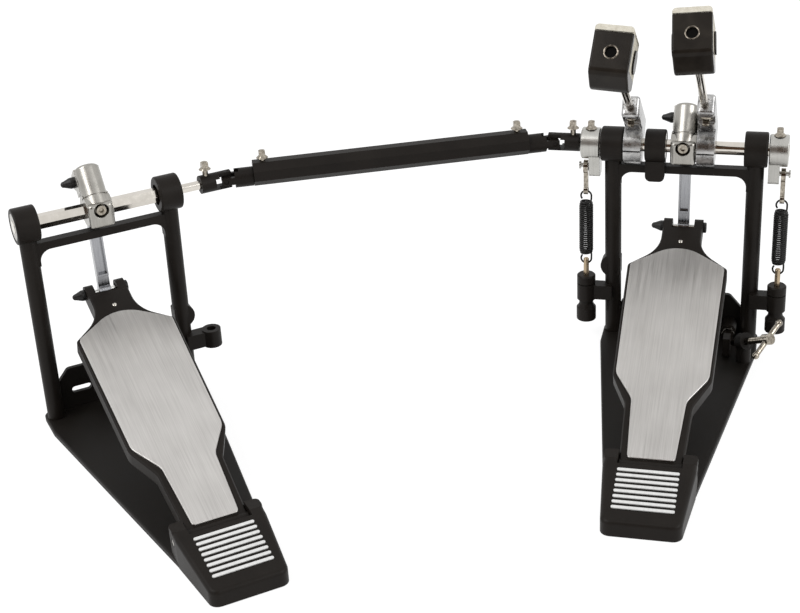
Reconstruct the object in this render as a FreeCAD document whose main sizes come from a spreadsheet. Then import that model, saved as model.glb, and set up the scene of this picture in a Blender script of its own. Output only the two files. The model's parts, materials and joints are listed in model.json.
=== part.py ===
import FreeCAD, Part
import math
import os

import Sketcher

# Double bass drum pedal: a main pedal with two beaters, a slave pedal to its left and the jointed
# link shaft between them. Millimetres and degrees. The origin is on the floor under the middle of the
# main shaft: +X runs along that shaft to the player's right, +Y toward the drum, +Z up.

SIZES = {
    # Where the slave pedal stands, measured between the floor points under the two shafts
    "left_pedal_x": -472.5,
    "left_pedal_y": -191.0,
    "left_pedal_yaw": 39.5,
    # Clearances
    "press_gap": 0.02,
    "running_gap": 0.05,
    "seat_gap": 0.3,
    "side_gap": 0.6,
    # Base plate
    "base_thick": 5.0,
    "base_heel_half": 36.5,
    "base_front_half": 71.0,
    "base_front_y": -14.0,
    "base_back_y": 24.0,
    "base_corner": 9.0,
    "base_bevel": 1.0,
    "hoop_tongue_half": 46.0,
    "hoop_tongue_end": 44.0,
    # Frame casting
    "shaft_height": 196.0,
    "post_x": 62.0,
    "post_dia": 14.8,
    "post_lean": 3.0,
    "housing_dia": 31.0,
    "housing_len": 20.0,
    "housing_bevel": 1.6,
    "bar_drop": 18.0,
    "bar_thick": 7.0,
    "bar_front": -3.5,
    "bar_depth": 9.0,
    "bar_corner": 10.0,
    "bar_leg": 14.0,
    "arm_low": 42.0,
    "arm_high": 56.0,
    "arm_front": -4.0,
    "arm_depth": 12.0,
    "boss_dia": 17.0,
    "boss_low": 41.0,
    "boss_high": 57.0,
    "spare_bore": 8.4,
    "bump_radius": 11.0,
    "bump_height": 75.0,
    "bump_width": 11.0,
    # Bearings and shafts
    "bearing_dia": 24.0,
    "bearing_len": 8.0,
    "bearing_race": 3.0,
    "shaft_dia": 11.6,
    "shaft_end_x": 90.0,
    "shaft_bevel": 0.8,
    "hex_flats": 11.4,
    "journal_dia": 11.0,
    "stub_dia": 8.0,
    "stub_len": 12.0,
    # Inner bearing hanger
    "hanger_x": -24.4,
    "hanger_len": 18.0,
    "hanger_dia": 29.0,
    "hanger_tab_drop": 13.0,
    "hanger_tab_len": 17.0,
    "hanger_tab_thick": 5.5,
    "hanger_tab_corner": 5.0,
    "shaft_part_gap": 1.6,
    # Drive cam and link
    "cam_width": 22.0,
    "cam_hub_radius": 13.0,
    "cam_front": -15.2,
    "cam_front_drop": 11.5,
    "cam_front_rise": 9.0,
    "cam_arm_angle": 50.0,
    "cam_arm_len": 36.2,
    "cam_barrel_dia": 21.4,
    "cam_barrel_shift": 4.0,
    "cam_seam_at": 7.6,
    "cam_seam_wide": 1.2,
    "cam_seam_deep": 0.8,
    "cam_brow": 3.0,
    "cam_corner": 4.0,
    "cam_screw_rise": 3.5,
    "cam_screw_pocket": 13.0,
    "cam_screw_sink": 4.5,
    "crank_reach": 30.2,
    "crank_angle": 34.2,
    "ear_radius": 7.0,
    "link_slot_start": 13.0,
    "link_width": 10.2,
    "link_side_gap": 0.35,
    "link_depth": 7.0,
    "link_eye_radius": 5.6,
    "link_channel_wide": 7.4,
    "link_channel_deep": 3.6,
    "link_channel_low": 16.5,
    "link_channel_high": 86.0,
    "link_step_low": 5.0,
    "link_step_high": 14.5,
    "link_step_deep": 1.2,
    "link_pin_dia": 5.0,
    "grip_dia": 9.6,
    "grip_tip_dia": 5.4,
    "grip_len": 8.4,
    "cap_len": 2.7,
    # Footboard, in its own frame on the heel pin
    "heel_pin_y": -245.9,
    "heel_pin_z": 19.0,
    "heel_pin_dia": 6.0,
    "board_angle": 19.7,
    "board_thick": 12.0,
    "board_top": 4.9,
    "board_wall": 4.0,
    "board_floor": 4.0,
    "board_heel_half": 25.0,
    "board_narrow_half": 27.5,
    "board_narrow_at": 63.0,
    "board_waist_half": 41.0,
    "board_waist_at": 92.0,
    "board_shoulder_half": 43.5,
    "board_shoulder_inset": 59.0,
    "board_neck_half": 17.6,
    "board_neck_inset": 38.0,
    "board_neck_end_inset": 11.0,
    "board_neck_curve": 32.0,
    "board_bevel": 1.2,
    "knuckle_radius": 6.5,
    "toe_reach": 281.0,
    "toe_drop": 4.3,
    "lug_gap_half": 9.9,
    "lug_radius": 7.2,
    "toe_clearance": 1.9,
    # Foot plate on the board
    "sheet_thick": 1.8,
    "sheet_heel_half": 19.0,
    "sheet_heel_at": 5.5,
    "sheet_heel_corner": 2.5,
    "sheet_narrow_half": 22.5,
    "sheet_narrow_at": 67.0,
    "sheet_waist_half": 38.5,
    "sheet_waist_at": 93.3,
    "sheet_shoulder_half": 41.0,
    "sheet_shoulder_inset": 59.5,
    "sheet_crown_inset": 32.0,
    "sheet_crown_radius": 32.0,
    "sheet_curve": 16.0,
    "sheet_corner": 5.0,
    # Heel plate and its grip strips
    "heel_back_y": -254.2,
    "heel_front_y": -315.0,
    "heel_wing_y": -236.0,
    "heel_half": 37.0,
    "heel_front_half": 31.0,
    "heel_low": 0.6,
    "heel_high": 29.5,
    "heel_corner": 8.0,
    "heel_edge": 4.0,
    "heel_slope": 13.2,
    "strip_first_y": -261.0,
    "strip_first_z": 26.6,
    "strip_count": 8,
    "strip_pitch": 5.7,
    "strip_len": 49.0,
    "strip_wide": 2.8,
    "strip_thick": 0.9,
    "base_tongue_half": 24.0,
    "base_tongue_y": -300.0,
    # Hoop plate and clamp
    "hoop_plate_y": 18.0,
    "hoop_plate_thick": 4.0,
    "hoop_plate_half": 56.0,
    "hoop_plate_top_half": 44.0,
    "hoop_plate_shoulder": 30.0,
    "hoop_plate_top": 44.0,
    "hoop_slot_x": -34.0,
    "hoop_slot_z": 22.0,
    "hoop_slot_len": 12.0,
    "hoop_slot_wide": 6.0,
    "lever_x": 45.0,
    "lever_z": 15.0,
    "lever_tube_dia": 13.0,
    "lever_tube_front": 2.0,
    "lever_bar_wide": 7.0,
    "lever_bar_low": 6.4,
    "lever_bar_high": 9.6,
    "lever_bar_front": -31.0,
    "lever_pad_wide": 6.5,
    "lever_pad_len": 12.0,
    "lever_pad_high": 24.0,
    "jaw_x": 4.0,
    "jaw_low": 17.5,
    "jaw_high": 23.5,
    "clamp_bolt_dia": 6.0,
    "clamp_bolt_head": 10.0,
    "clamp_bolt_head_len": 5.0,
    "clamp_screw_x": 63.3,
    "clamp_screw_y": -36.0,
    "clamp_screw_z": 26.2,
    "clamp_screw_turn": -42.9,
    "clamp_screw_rise": 26.9,
    "clamp_screw_dia": 6.5,
    "clamp_screw_in": 19.0,
    "clamp_screw_out": 23.0,
    "clamp_hub_dia": 10.0,
    "clamp_hub_len": 9.0,
    "clamp_bar_dia": 5.0,
    "clamp_bar_len": 40.0,
    "clamp_bar_lean": 118.3,
    "clamp_lug_radius": 8.0,
    "clamp_lug_len": 8.0,
    "clamp_lug_stem": 13.0,
    # Beaters
    "main_beater_x": 19.3,
    "left_beater_x": -44.0,
    "main_beater_tilt": 46.4,
    "left_beater_tilt": 52.5,
    "main_rod_lean": 1.9,
    "left_rod_lean": 0.9,
    "beater_offset": 20.0,
    "holder_width": 15.2,
    "holder_hub_radius": 17.0,
    "holder_boss_high": 19.0,
    "holder_boss_low": -14.0,
    "holder_boss_end": 50.0,
    "holder_edge": 3.0,
    "holder_screw_at": 34.0,
    "holder_notch_half": 8.0,
    "holder_notch_deep": 2.5,
    "holder_slit": 1.2,
    "holder_mouth_dia": 11.0,
    "holder_mouth_deep": 2.0,
    "rod_dia": 7.0,
    "rod_low": -24.0,
    "rod_end_inset": 8.0,
    "main_head_at": 187.0,
    "left_head_at": 191.0,
    "main_head_turn": 4.4,
    "left_head_turn": -4.5,
    "head_len": 36.0,
    "head_half": 15.5,
    "head_back": 16.4,
    "head_front": -17.0,
    "head_bulge": -25.5,
    "head_bulge_at": -22.0,
    "head_foot": -19.0,
    "head_bulge_radius": 14.0,
    "head_edge": 4.0,
    "head_rim": 5.0,
    "head_bend": 6.0,
    "head_round": 1.5,
    "head_hole_dia": 9.4,
    "head_side": 2.6,
    "head_end_plate": 6.0,
    "head_button_len": 19.0,
    "head_button_wide": 13.0,
    "head_button_out": 1.6,
    "felt_thick": 5.8,
    "felt_edge": 3.0,
    # Springs and their tension hardware
    "spring_x": 86.0,
    "spring_wire": 1.5,
    "spring_dia": 11.2,
    "spring_end_dia": 9.2,
    "spring_low": 87.4,
    "spring_drop": 56.4,
    "spring_pitch": 2.088,
    "spring_loop_radius": 4.7,
    "spring_loop_rise": 5.2,
    "spring_loop_open": 40.0,
    "eye_bolt_dia": 5.0,
    "eye_bolt_low": 24.0,
    "eye_bolt_high": 82.5,
    "eye_hole_dia": 3.2,
    "eye_loop_gap": 0.9,
    "lock_nut_dia": 17.0,
    "lock_nut_high": 66.0,
    "knob_dia": 18.0,
    "knob_neck_dia": 13.0,
    "knob_low": 20.0,
    "knob_shoulder": 33.0,
    "knob_neck": 36.5,
    "rocker_dia": 28.0,
    "rocker_x": 73.0,
    "rocker_len": 16.5,
    "rocker_arm_thick": 9.5,
    "rocker_arm_half": 7.0,
    "rocker_root_half": 11.5,
    "rocker_arm_corner": 4.0,
    "rocker_arm_drop": 30.0,
    "rocker_pin_reach": 21.5,
    "rocker_pin_dia": 4.0,
    "rocker_pin_end_x": 90.5,
    "rocker_pin_head": 7.0,
    "rocker_pin_head_len": 1.5,
    "clip_thick": 4.0,
    "clip_slot_wide": 7.4,
    "clip_slot_room": 3.3,
    "clip_top_gap": 0.6,
    "clip_wall": 2.2,
    "clip_neck_wide": 4.4,
    "clip_eye_hole": 4.4,
    "clip_loop_gap": 0.5,
    "clip_eye_wall": 1.9,
    # Link shaft between the pedals
    "joint_x": 115.6,
    "yoke_dia": 16.0,
    "yoke_start": 91.5,
    "yoke_slot": 8.4,
    "yoke_slot_depth": 11.2,
    "yoke_arm_half": 3.2,
    "yoke_arm_end": 4.0,
    "yoke_arm_root": 7.5,
    "cross_size": 7.6,
    "cross_pin_dia": 4.0,
    "cross_pin_reach": 7.6,
    "yoke_clearance": 0.35,
    "fork_dia": 17.0,
    "tube_start": 24.0,
    "tube_flats": 21.0,
    "tube_rise": 2.8,
    "tube_bore": 13.0,
    "left_rod_in": 86.0,
    "right_rod_in": 60.0,
    "tube_screw_inset": 9.0,
    # Square-headed key screws
    "key_shank_dia": 5.0,
    "key_flange_dia": 10.6,
    "key_flange_thick": 2.2,
    "key_head_wide": 5.6,
    "key_head_high": 5.0,
    "key_neck": 3.0,
    "yoke_screw_neck": 5.5,
    "cap_screw_dia": 8.5,
    "cap_screw_high": 4.0,
    "cap_screw_socket": 4.0,
}

doc = FreeCAD.newDocument("double_pedal")
sheet = doc.addObject("Spreadsheet::Sheet", "Sizes")
for row, (alias, number) in enumerate(SIZES.items(), start=1):
    sheet.set(f"A{row}", alias)
    sheet.set(f"B{row}", str(number))
    sheet.setAlias(f"B{row}", alias)
doc.recompute()


class Size:
    """A number together with the sheet expression that gives it."""

    def __init__(self, value, text):
        self.value = value
        self.text = text

    def __add__(self, other):
        other = sized(other)
        return Size(self.value + other.value, f"({self.text} + {other.text})")

    def __sub__(self, other):
        other = sized(other)
        return Size(self.value - other.value, f"({self.text} - {other.text})")

    def __mul__(self, other):
        other = sized(other)
        return Size(self.value * other.value, f"({self.text} * {other.text})")

    def __truediv__(self, other):
        other = sized(other)
        return Size(self.value / other.value, f"({self.text} / {other.text})")

    def __radd__(self, other):
        return sized(other) + self

    def __rsub__(self, other):
        return sized(other) - self

    def __rmul__(self, other):
        return sized(other) * self

    def __neg__(self):
        return Size(-self.value, f"(-{self.text})")


def sized(value):
    """A plain number as a Size."""
    return value if isinstance(value, Size) else Size(float(value), f"({float(value)})")


class Dimensions:
    """The sheet's cells by alias."""

    def __getattr__(self, alias):
        return Size(float(sheet.get(alias)), f"Sizes.{alias}")


d = Dimensions()


def cos(angle):
    return Size(math.cos(math.radians(angle.value)), f"cos({angle.text})")


def sin(angle):
    return Size(math.sin(math.radians(angle.value)), f"sin({angle.text})")


def hypot(across, along):
    return Size(
        math.hypot(across.value, along.value),
        f"sqrt({across.text} * {across.text} + {along.text} * {along.text})",
    )


def bearing_of(across, along):
    """The angle whose tangent is across over along."""
    return Size(
        math.degrees(math.atan2(across.value, along.value)), f"atan2({across.text}; {along.text})"
    )


# Places: named frames that pieces and other frames are set in

TURN_AXIS = {"x": "vector(1; 0; 0)", "y": "vector(0; 1; 0)", "z": "vector(0; 0; 1)"}
LAY_ALONG = {
    "x": "rotation(vector(0; 1; 0); 90)",
    "y": "rotation(vector(1; 0; 0); -90)",
    "z": "rotation(vector(0; 0; 1); 0)",
}


def placing(at, turn=LAY_ALONG["z"], frame=None):
    """Expression for a placement at a point, inside a named frame if one is given."""
    spot = "; ".join(sized(value).text for value in at)
    text = f"placement(vector({spot}); {turn})"
    return f"{frame}.Placement * {text}" if frame else text


def make_frame(name, at, axis="z", angle=0, parent=None):
    """A named frame at a point, turned about one axis."""
    frame = doc.addObject("App::Placement", name)
    turn = f"rotation({TURN_AXIS[axis]}; {sized(angle).text})"
    frame.setExpression("Placement", placing(at, turn, parent))
    return name


# Solids: every size and place is an expression on the sheet


def spread(axis, along, at):
    """Point whose coordinate on the axis is along, and whose other two are at."""
    first, second = at
    return {"x": (along, first, second), "y": (first, along, second), "z": (first, second, along)}[axis]


def box(name, x, y, z, frame=None):
    """Block between two values on each axis."""
    solid = doc.addObject("Part::Box", name)
    for side, (low, high) in zip(("Length", "Width", "Height"), (x, y, z)):
        solid.setExpression(side, (sized(high) - low).text)
    solid.setExpression("Placement", placing((x[0], y[0], z[0]), frame=frame))
    return solid


def cylinder(name, axis, diameter, ends, at=(0, 0), frame=None):
    """Round bar along an axis, between two values on it."""
    solid = doc.addObject("Part::Cylinder", name)
    solid.setExpression("Radius", (sized(diameter) / 2).text)
    solid.setExpression("Height", (sized(ends[1]) - ends[0]).text)
    solid.setExpression("Placement", placing(spread(axis, ends[0], at), LAY_ALONG[axis], frame))
    return solid


def cone(name, axis, diameters, ends, at=(0, 0), frame=None):
    """Tapered round bar along an axis."""
    solid = doc.addObject("Part::Cone", name)
    solid.setExpression("Radius1", (sized(diameters[0]) / 2).text)
    solid.setExpression("Radius2", (sized(diameters[1]) / 2).text)
    solid.setExpression("Height", (sized(ends[1]) - ends[0]).text)
    solid.setExpression("Placement", placing(spread(axis, ends[0], at), LAY_ALONG[axis], frame))
    return solid


def ball(name, diameter, at, frame=None):
    solid = doc.addObject("Part::Sphere", name)
    solid.setExpression("Radius", (sized(diameter) / 2).text)
    solid.setExpression("Placement", placing(at, frame=frame))
    return solid


def prism(name, axis, sides, flats, ends, at=(0, 0), frame=None):
    """Regular prism along an axis, by its width across flats, with a flat on top."""
    solid = doc.addObject("Part::Prism", name)
    solid.Polygon = sides
    half_turn = Size(180.0 / sides, f"(180 / {sides})")
    solid.setExpression("Circumradius", (sized(flats) / 2 / cos(half_turn)).text)
    solid.setExpression("Height", (sized(ends[1]) - ends[0]).text)
    spin = half_turn.text if axis == "x" else "0"
    turn = f"{LAY_ALONG[axis]} * rotation(vector(0; 0; 1); {spin})"
    solid.setExpression("Placement", placing(spread(axis, ends[0], at), turn, frame))
    return solid


def fuse(name, *solids):
    joined = doc.addObject("Part::MultiFuse", name)
    joined.Shapes = list(solids)
    joined.Refine = True
    return joined


def cut(name, base, *tools):
    """The base with every tool taken out of it."""
    result = doc.addObject("Part::Cut", name)
    result.Base = base
    result.Tool = tools[0] if len(tools) == 1 else fuse(f"{name}_tools", *tools)
    result.Refine = True
    return result


def group(name, *solids):
    """Separate solids that share one node."""
    held = doc.addObject("Part::Compound", name)
    held.Links = list(solids)
    return held


def mirrored(points):
    """A whole outline from its right-hand half, given from one end to the other."""
    return points + [(-x, y, *rest) for x, y, *rest in reversed(points)]


PAD_PLANES = {"z": "XY_Plane", "y": "XZ_Plane", "x": "YZ_Plane"}
PAD_STARTS = {"z": (0, 1), "y": (1, -1), "x": (0, 1)}


def plate(name, points, ends, axis="z", bevel=None):
    """Flat piece: an outline of straight runs, padded along an axis between two values.

    Each point is (across, up) or (across, up, corner radius). A bevel runs round the face at ends[1].
    """
    body = doc.addObject("PartDesign::Body", name)
    sketch = body.newObject("Sketcher::SketchObject", f"{name}_outline")
    plane = next(f for f in body.Origin.OriginFeatures if f.Role == PAD_PLANES[axis])
    sketch.AttachmentSupport = [(plane, "")]
    sketch.MapMode = "FlatFace"
    start, sign = PAD_STARTS[axis]
    level = sized(ends[start]) * sign
    sketch.setExpression(".AttachmentOffset.Base.z", level.text)
    corners = [tuple(sized(value) for value in point) for point in points]
    spots = [FreeCAD.Vector(across.value, up.value, 0) for across, up, *_ in corners]
    for i, spot in enumerate(spots):
        sketch.addGeometry(Part.LineSegment(spot, spots[(i + 1) % len(spots)]), False)
    for i in range(len(spots)):
        sketch.addConstraint(Sketcher.Constraint("Coincident", i, 2, (i + 1) % len(spots), 1))
    for i, (across, up, *_) in enumerate(corners):
        for kind, length in (("DistanceX", across), ("DistanceY", up)):
            rule = sketch.addConstraint(Sketcher.Constraint(kind, -1, 1, i, 1, length.value))
            sketch.setExpression(f"Constraints[{rule}]", length.text)
    pad = body.newObject("PartDesign::Pad", f"{name}_pad")
    pad.Profile = sketch
    pad.setExpression("Length", (sized(ends[1]) - ends[0]).text)
    doc.recompute()
    along = {"x": 0, "y": 1, "z": 2}[axis]
    flat = [i for i in range(3) if i != along]
    radii = {}
    for across, up, *radius in corners:
        if radius:
            radii.setdefault(radius[0].text, []).append((across.value, up.value))
    for radius, places in radii.items():
        tip = body.Tip
        names = []
        for i, edge in enumerate(tip.Shape.Edges, start=1):
            first, last = edge.Vertexes[0].Point, edge.Vertexes[-1].Point
            upright = abs(first[flat[0]] - last[flat[0]]) + abs(first[flat[1]] - last[flat[1]]) < 1e-6
            here = any(
                abs(first[flat[0]] - a) + abs(first[flat[1]] - b) < 1e-4 for a, b in places
            )
            if upright and here:
                names.append(f"Edge{i}")
        rounding = body.newObject("PartDesign::Fillet", f"{name}_corners")
        rounding.Base = (tip, names)
        rounding.setExpression("Radius", radius)
        doc.recompute()
    if bevel is not None:
        top = sized(ends[1]).value
        tip = body.Tip
        names = [
            f"Edge{i}"
            for i, edge in enumerate(tip.Shape.Edges, start=1)
            if all(abs(v.Point[along] - top) < 1e-5 for v in edge.Vertexes)
            and abs(edge.BoundBox.Center[along] - top) < 1e-3
        ]
        slope = body.newObject("PartDesign::Chamfer", f"{name}_bevel")
        slope.Base = (tip, names)
        slope.setExpression("Size", bevel.text)
        doc.recompute()
    return body


def soften(name, base, radius, chosen, kind="Part::Fillet"):
    """Rounds, or with Part::Chamfer bevels, the edges of a solid that the test picks."""
    doc.recompute()
    edges = [i for i, edge in enumerate(base.Shape.Edges, start=1) if chosen(edge)]
    result = doc.addObject(kind, name)
    result.Base = base
    result.Edges = [(i, radius.value, radius.value) for i in edges]
    return result


def round_rim(edge, axis):
    """Whether an edge is a full circle square to an axis."""
    curve = edge.Curve
    full = isinstance(curve, Part.Circle) and edge.isClosed()
    return full and abs(curve.Axis["xyz".index(axis)]) > 0.999


nodes = {}


def finish(node, solid, frame=None):
    """Names the solid as a node of the assembly and sets it in its frame."""
    solid.Label = node
    if frame:
        solid.setExpression("Placement", f"{frame}.Placement")
    nodes[node] = solid
    return solid


# Frames of the assembly

make_frame("MainPedal", (0, 0, 0))
make_frame("LeftPedal", (d.left_pedal_x, d.left_pedal_y, 0), "z", d.left_pedal_yaw)
PEDALS = {"main": "MainPedal", "left": "LeftPedal"}

make_frame("Board", (0, d.heel_pin_y, d.heel_pin_z), "x", d.board_angle)
make_frame("HeelSlope", (0, d.strip_first_y, d.strip_first_z), "x", d.heel_slope)
make_frame("CamArm", (0, 0, d.shaft_height), "x", d.cam_arm_angle - 90)
make_frame("Post", (0, 0, d.shaft_height), "x", d.post_lean)

bar_top = d.shaft_height - d.bar_drop
cam_screw_z = d.shaft_height + d.cam_screw_rise
spring_high = d.shaft_height - d.spring_drop
spring_turns = round((spring_high.value - d.spring_low.value) / d.spring_pitch.value)

crank_y = d.crank_reach * cos(d.crank_angle)
crank_z = d.shaft_height + d.crank_reach * sin(d.crank_angle)
toe_y = d.heel_pin_y + d.toe_reach * cos(d.board_angle) + d.toe_drop * sin(d.board_angle)
toe_z = d.heel_pin_z + d.toe_reach * sin(d.board_angle) - d.toe_drop * cos(d.board_angle)
link_length = hypot(crank_y - toe_y, crank_z - toe_z)
make_frame("LinkBar", (0, toe_y, toe_z), "x", -bearing_of(crank_y - toe_y, crank_z - toe_z))

for pedal, frame in PEDALS.items():
    for place in ("Board", "HeelSlope", "LinkBar"):
        spot = doc.addObject("App::Placement", f"{frame}{place}")
        spot.setExpression("Placement", f"{frame}.Placement * {place}.Placement")

joint_left_x = d.left_pedal_x + d.joint_x * cos(d.left_pedal_yaw)
joint_left_y = d.left_pedal_y + d.joint_x * sin(d.left_pedal_yaw)
reach_x = -d.joint_x - joint_left_x
reach_y = -joint_left_y
shaft_span = hypot(reach_x, reach_y)
make_frame(
    "LinkShaft", (joint_left_x, joint_left_y, d.shaft_height), "z", bearing_of(reach_y, reach_x)
)

for side, beater_x, tilt, lean, head_at, head_turn in (
    (
        "Main",
        d.main_beater_x,
        d.main_beater_tilt,
        d.main_rod_lean,
        d.main_head_at,
        d.main_head_turn,
    ),
    (
        "Left",
        d.left_beater_x,
        d.left_beater_tilt,
        d.left_rod_lean,
        d.left_head_at,
        d.left_head_turn,
    ),
):
    across = d.beater_offset * cos(tilt)
    above = d.shaft_height + d.beater_offset * sin(tilt)
    make_frame(f"{side}Beater", (beater_x, across, above), "x", tilt)
    make_frame(f"{side}RodLean", (0, 0, 0), "y", -lean)
    make_frame(f"{side}HolderSlit", (0, -d.beater_offset, 0), "x", -tilt)
    make_frame(f"{side}Rod", (0, 0, 0), "y", -lean, f"{side}Beater")
    make_frame(f"{side}Head", (0, 0, head_at), "z", head_turn, f"{side}Rod")

make_frame(
    "ClampTurn", (d.clamp_screw_x, d.clamp_screw_y, d.clamp_screw_z), "z", d.clamp_screw_turn
)
make_frame("ClampScrew", (0, 0, 0), "y", 90 - d.clamp_screw_rise, "ClampTurn")

# Fasteners


def key_screw(name, seat, depth, neck):
    """Square-headed screw standing on a seat frame along its +Z."""
    head_half = d.key_head_wide / 2
    flange_top = neck + d.key_flange_thick
    shank = cylinder(f"{name}_shank", "z", d.key_shank_dia, (-depth, neck + 0.5), frame=seat)
    flange = cone(
        f"{name}_flange",
        "z",
        (d.key_flange_dia, d.key_head_wide),
        (neck, flange_top),
        frame=seat,
    )
    head = box(
        f"{name}_head",
        (-head_half, head_half),
        (-head_half, head_half),
        (neck + d.key_flange_thick / 2, flange_top + d.key_head_high),
        frame=seat,
    )
    dome = ball(
        f"{name}_dome", d.key_head_high * 2.6, (0, 0, flange_top - d.key_head_high * 0.3), frame=seat
    )
    rounded = doc.addObject("Part::Common", f"{name}_crown")
    rounded.Base = head
    rounded.Tool = dome
    return fuse(name, shank, flange, rounded)


def screw_hole(name, seat, depth):
    """Hole for a key screw, from its seat inward."""
    return cylinder(
        name, "z", d.key_shank_dia + d.press_gap * 2, (-depth - d.press_gap, d.key_neck), frame=seat
    )


def cap_screw(name, depth):
    """Socket screw in the cam's front pocket, along -Y."""
    head_y = d.cam_front + d.cam_screw_sink
    head_front = head_y - d.cap_screw_high
    at = (0, cam_screw_z)
    head = cylinder(f"{name}_head", "y", d.cap_screw_dia, (head_front, head_y), at)
    shank = cylinder(f"{name}_shank", "y", d.key_shank_dia, (head_y, head_y + depth), at)
    socket = prism(
        f"{name}_socket", "y", 6, d.cap_screw_socket, (head_front, head_front + d.cap_screw_high / 2), at
    )
    return cut(name, fuse(f"{name}_body", head, shank), socket)


# Base, frame and bearings


def base_plate(pedal):
    outline = mirrored(
        [
            (d.base_tongue_half, d.base_tongue_y),
            (d.base_tongue_half, d.heel_back_y),
            (d.base_heel_half, d.heel_back_y),
            (d.base_front_half, d.base_front_y, d.base_corner),
            (d.base_front_half, d.base_back_y, d.base_corner),
            (d.hoop_tongue_half, d.base_back_y),
            (d.hoop_tongue_half, d.hoop_tongue_end, d.base_corner),
        ]
    )
    floor = plate(f"{pedal}_floor", outline, (0, d.base_thick), bevel=d.base_bevel)
    if pedal == "left":
        return finish("left_base_plate", floor, "LeftPedal")
    inward = d.clamp_lug_len / 2
    level = inward * cos(d.clamp_screw_rise)
    stem = cylinder(
        "clamp_lug_stem",
        "z",
        d.clamp_lug_stem,
        (d.base_thick / 2, d.clamp_screw_z - inward * sin(d.clamp_screw_rise)),
        (
            d.clamp_screw_x - level * cos(d.clamp_screw_turn),
            d.clamp_screw_y - level * sin(d.clamp_screw_turn),
        ),
    )
    boss = cylinder(
        "clamp_lug_boss", "z", d.clamp_lug_radius * 2, (-d.clamp_lug_len, 0), frame="ClampScrew"
    )
    thread = cylinder(
        "clamp_lug_thread",
        "z",
        d.clamp_screw_dia + d.running_gap * 2,
        (-d.clamp_lug_len * 3, d.clamp_lug_len),
        frame="ClampScrew",
    )
    return finish("main_base_plate", cut("main_base", fuse("main_base_solid", floor, stem, boss), thread))


def post(name, x):
    """Round leaning post from the shaft line down past the base plate's top."""
    return cylinder(name, "z", d.post_dia, (-d.shaft_height / cos(d.post_lean), 0), (x, 0), "Post")


def frame_casting(pedal, arm_sides, bump_side, bore):
    inner = d.post_x - d.post_dia / 2
    bar_low = bar_top - d.bar_thick
    bridge = plate(
        f"{pedal}_bridge",
        [
            (-d.post_x, bar_low - d.bar_leg),
            (-d.post_x, bar_top),
            (d.post_x, bar_top),
            (d.post_x, bar_low - d.bar_leg),
            (inner, bar_low - d.bar_leg),
            (inner, bar_low, d.bar_corner),
            (-inner, bar_low, d.bar_corner),
            (-inner, bar_low - d.bar_leg),
        ],
        (d.bar_front, d.bar_front + d.bar_depth),
        axis="y",
    )
    solids = [bridge]
    holes = [
        box(
            f"{pedal}_under_frame",
            (-d.base_front_half, d.base_front_half),
            (d.base_front_y * 3, d.base_back_y * 2),
            (-d.base_thick * 2, d.base_thick),
        )
    ]
    half = d.housing_len / 2
    axis_at = (0, d.shaft_height)
    for side in (-1, 1):
        mid = d.post_x * side
        solids.append(post(f"{pedal}_post", mid))
        housing = cylinder(f"{pedal}_housing", "x", d.housing_dia, (mid - half, mid + half), axis_at)
        solids.append(
            soften(
                f"{pedal}_housing_rim",
                housing,
                d.housing_bevel,
                lambda edge: round_rim(edge, "x"),
            )
        )
        outer = mid + half * side
        seat = outer - (d.bearing_len + d.seat_gap) * side
        ends = (seat, outer + 1) if side > 0 else (outer - 1, seat)
        holes.append(
            cylinder(
                f"{pedal}_bearing_bore", "x", d.bearing_dia + d.press_gap * 2, ends, axis_at
            )
        )
        holes.append(
            cylinder(
                f"{pedal}_shaft_way",
                "x",
                d.bearing_dia - d.bearing_race * 2,
                (mid - d.housing_len, mid + d.housing_len),
                axis_at,
            )
        )
    for side in arm_sides:
        boss_x = d.spring_x * side
        reach = (d.post_x, boss_x) if side > 0 else (boss_x, -d.post_x)
        solids.append(
            box(
                f"{pedal}_spring_arm",
                reach,
                (d.arm_front, d.arm_front + d.arm_depth),
                (d.arm_low, d.arm_high),
            )
        )
        boss = cylinder(
            f"{pedal}_spring_boss", "z", d.boss_dia, (d.boss_low, d.boss_high), (boss_x, 0)
        )
        solids.append(boss)
        holes.append(
            cylinder(
                f"{pedal}_boss_bore", "z", bore, (d.boss_low - 1, d.boss_high + 1), (boss_x, 0)
            )
        )
    bump_y = (d.shaft_height - d.bump_height) * sin(d.post_lean) / cos(d.post_lean)
    bump = cylinder(
        f"{pedal}_bump",
        "y",
        d.bump_radius * 2,
        (bump_y - d.bump_width / 2, bump_y + d.bump_width / 2),
        (d.post_x * bump_side, d.bump_height),
    )
    inside = box(
        f"{pedal}_bump_inside",
        (-inner, inner),
        (d.base_front_y, d.base_back_y),
        (d.bump_height - d.bump_radius, d.bump_height + d.bump_radius),
    )
    solids.append(cut(f"{pedal}_bump_outer", bump, inside))
    casting = cut(f"{pedal}_casting", fuse(f"{pedal}_casting_solid", *solids), *holes)
    return finish(f"{pedal}_frame", casting, PEDALS[pedal])


def bearing(name, bore, start):
    ring = cylinder(f"{name}_ring", "x", d.bearing_dia, (start, start + d.bearing_len), (0, d.shaft_height))
    hole = cylinder(
        f"{name}_hole", "x", bore, (start - 1, start + d.bearing_len + 1), (0, d.shaft_height)
    )
    ring = cut(name, ring, hole)
    return soften(f"{name}_eased", ring, d.shaft_bevel / 2, lambda edge: round_rim(edge, "x"))


def bearings(pedal, bore):
    outer = d.post_x + d.housing_len / 2 - d.seat_gap
    rings = [
        bearing(f"{pedal}_right_bearing", bore, outer - d.bearing_len),
        bearing(f"{pedal}_left_bearing", bore, -outer),
    ]
    if pedal == "main":
        inset = d.hanger_len / 2 - d.seat_gap
        rings.append(bearing("hanger_right_bearing", bore, d.hanger_x + inset - d.bearing_len))
        rings.append(bearing("hanger_left_bearing", bore, d.hanger_x - inset))
    return finish(f"{pedal}_bearings", group(f"{pedal}_bearing_set", *rings), PEDALS[pedal])


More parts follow.
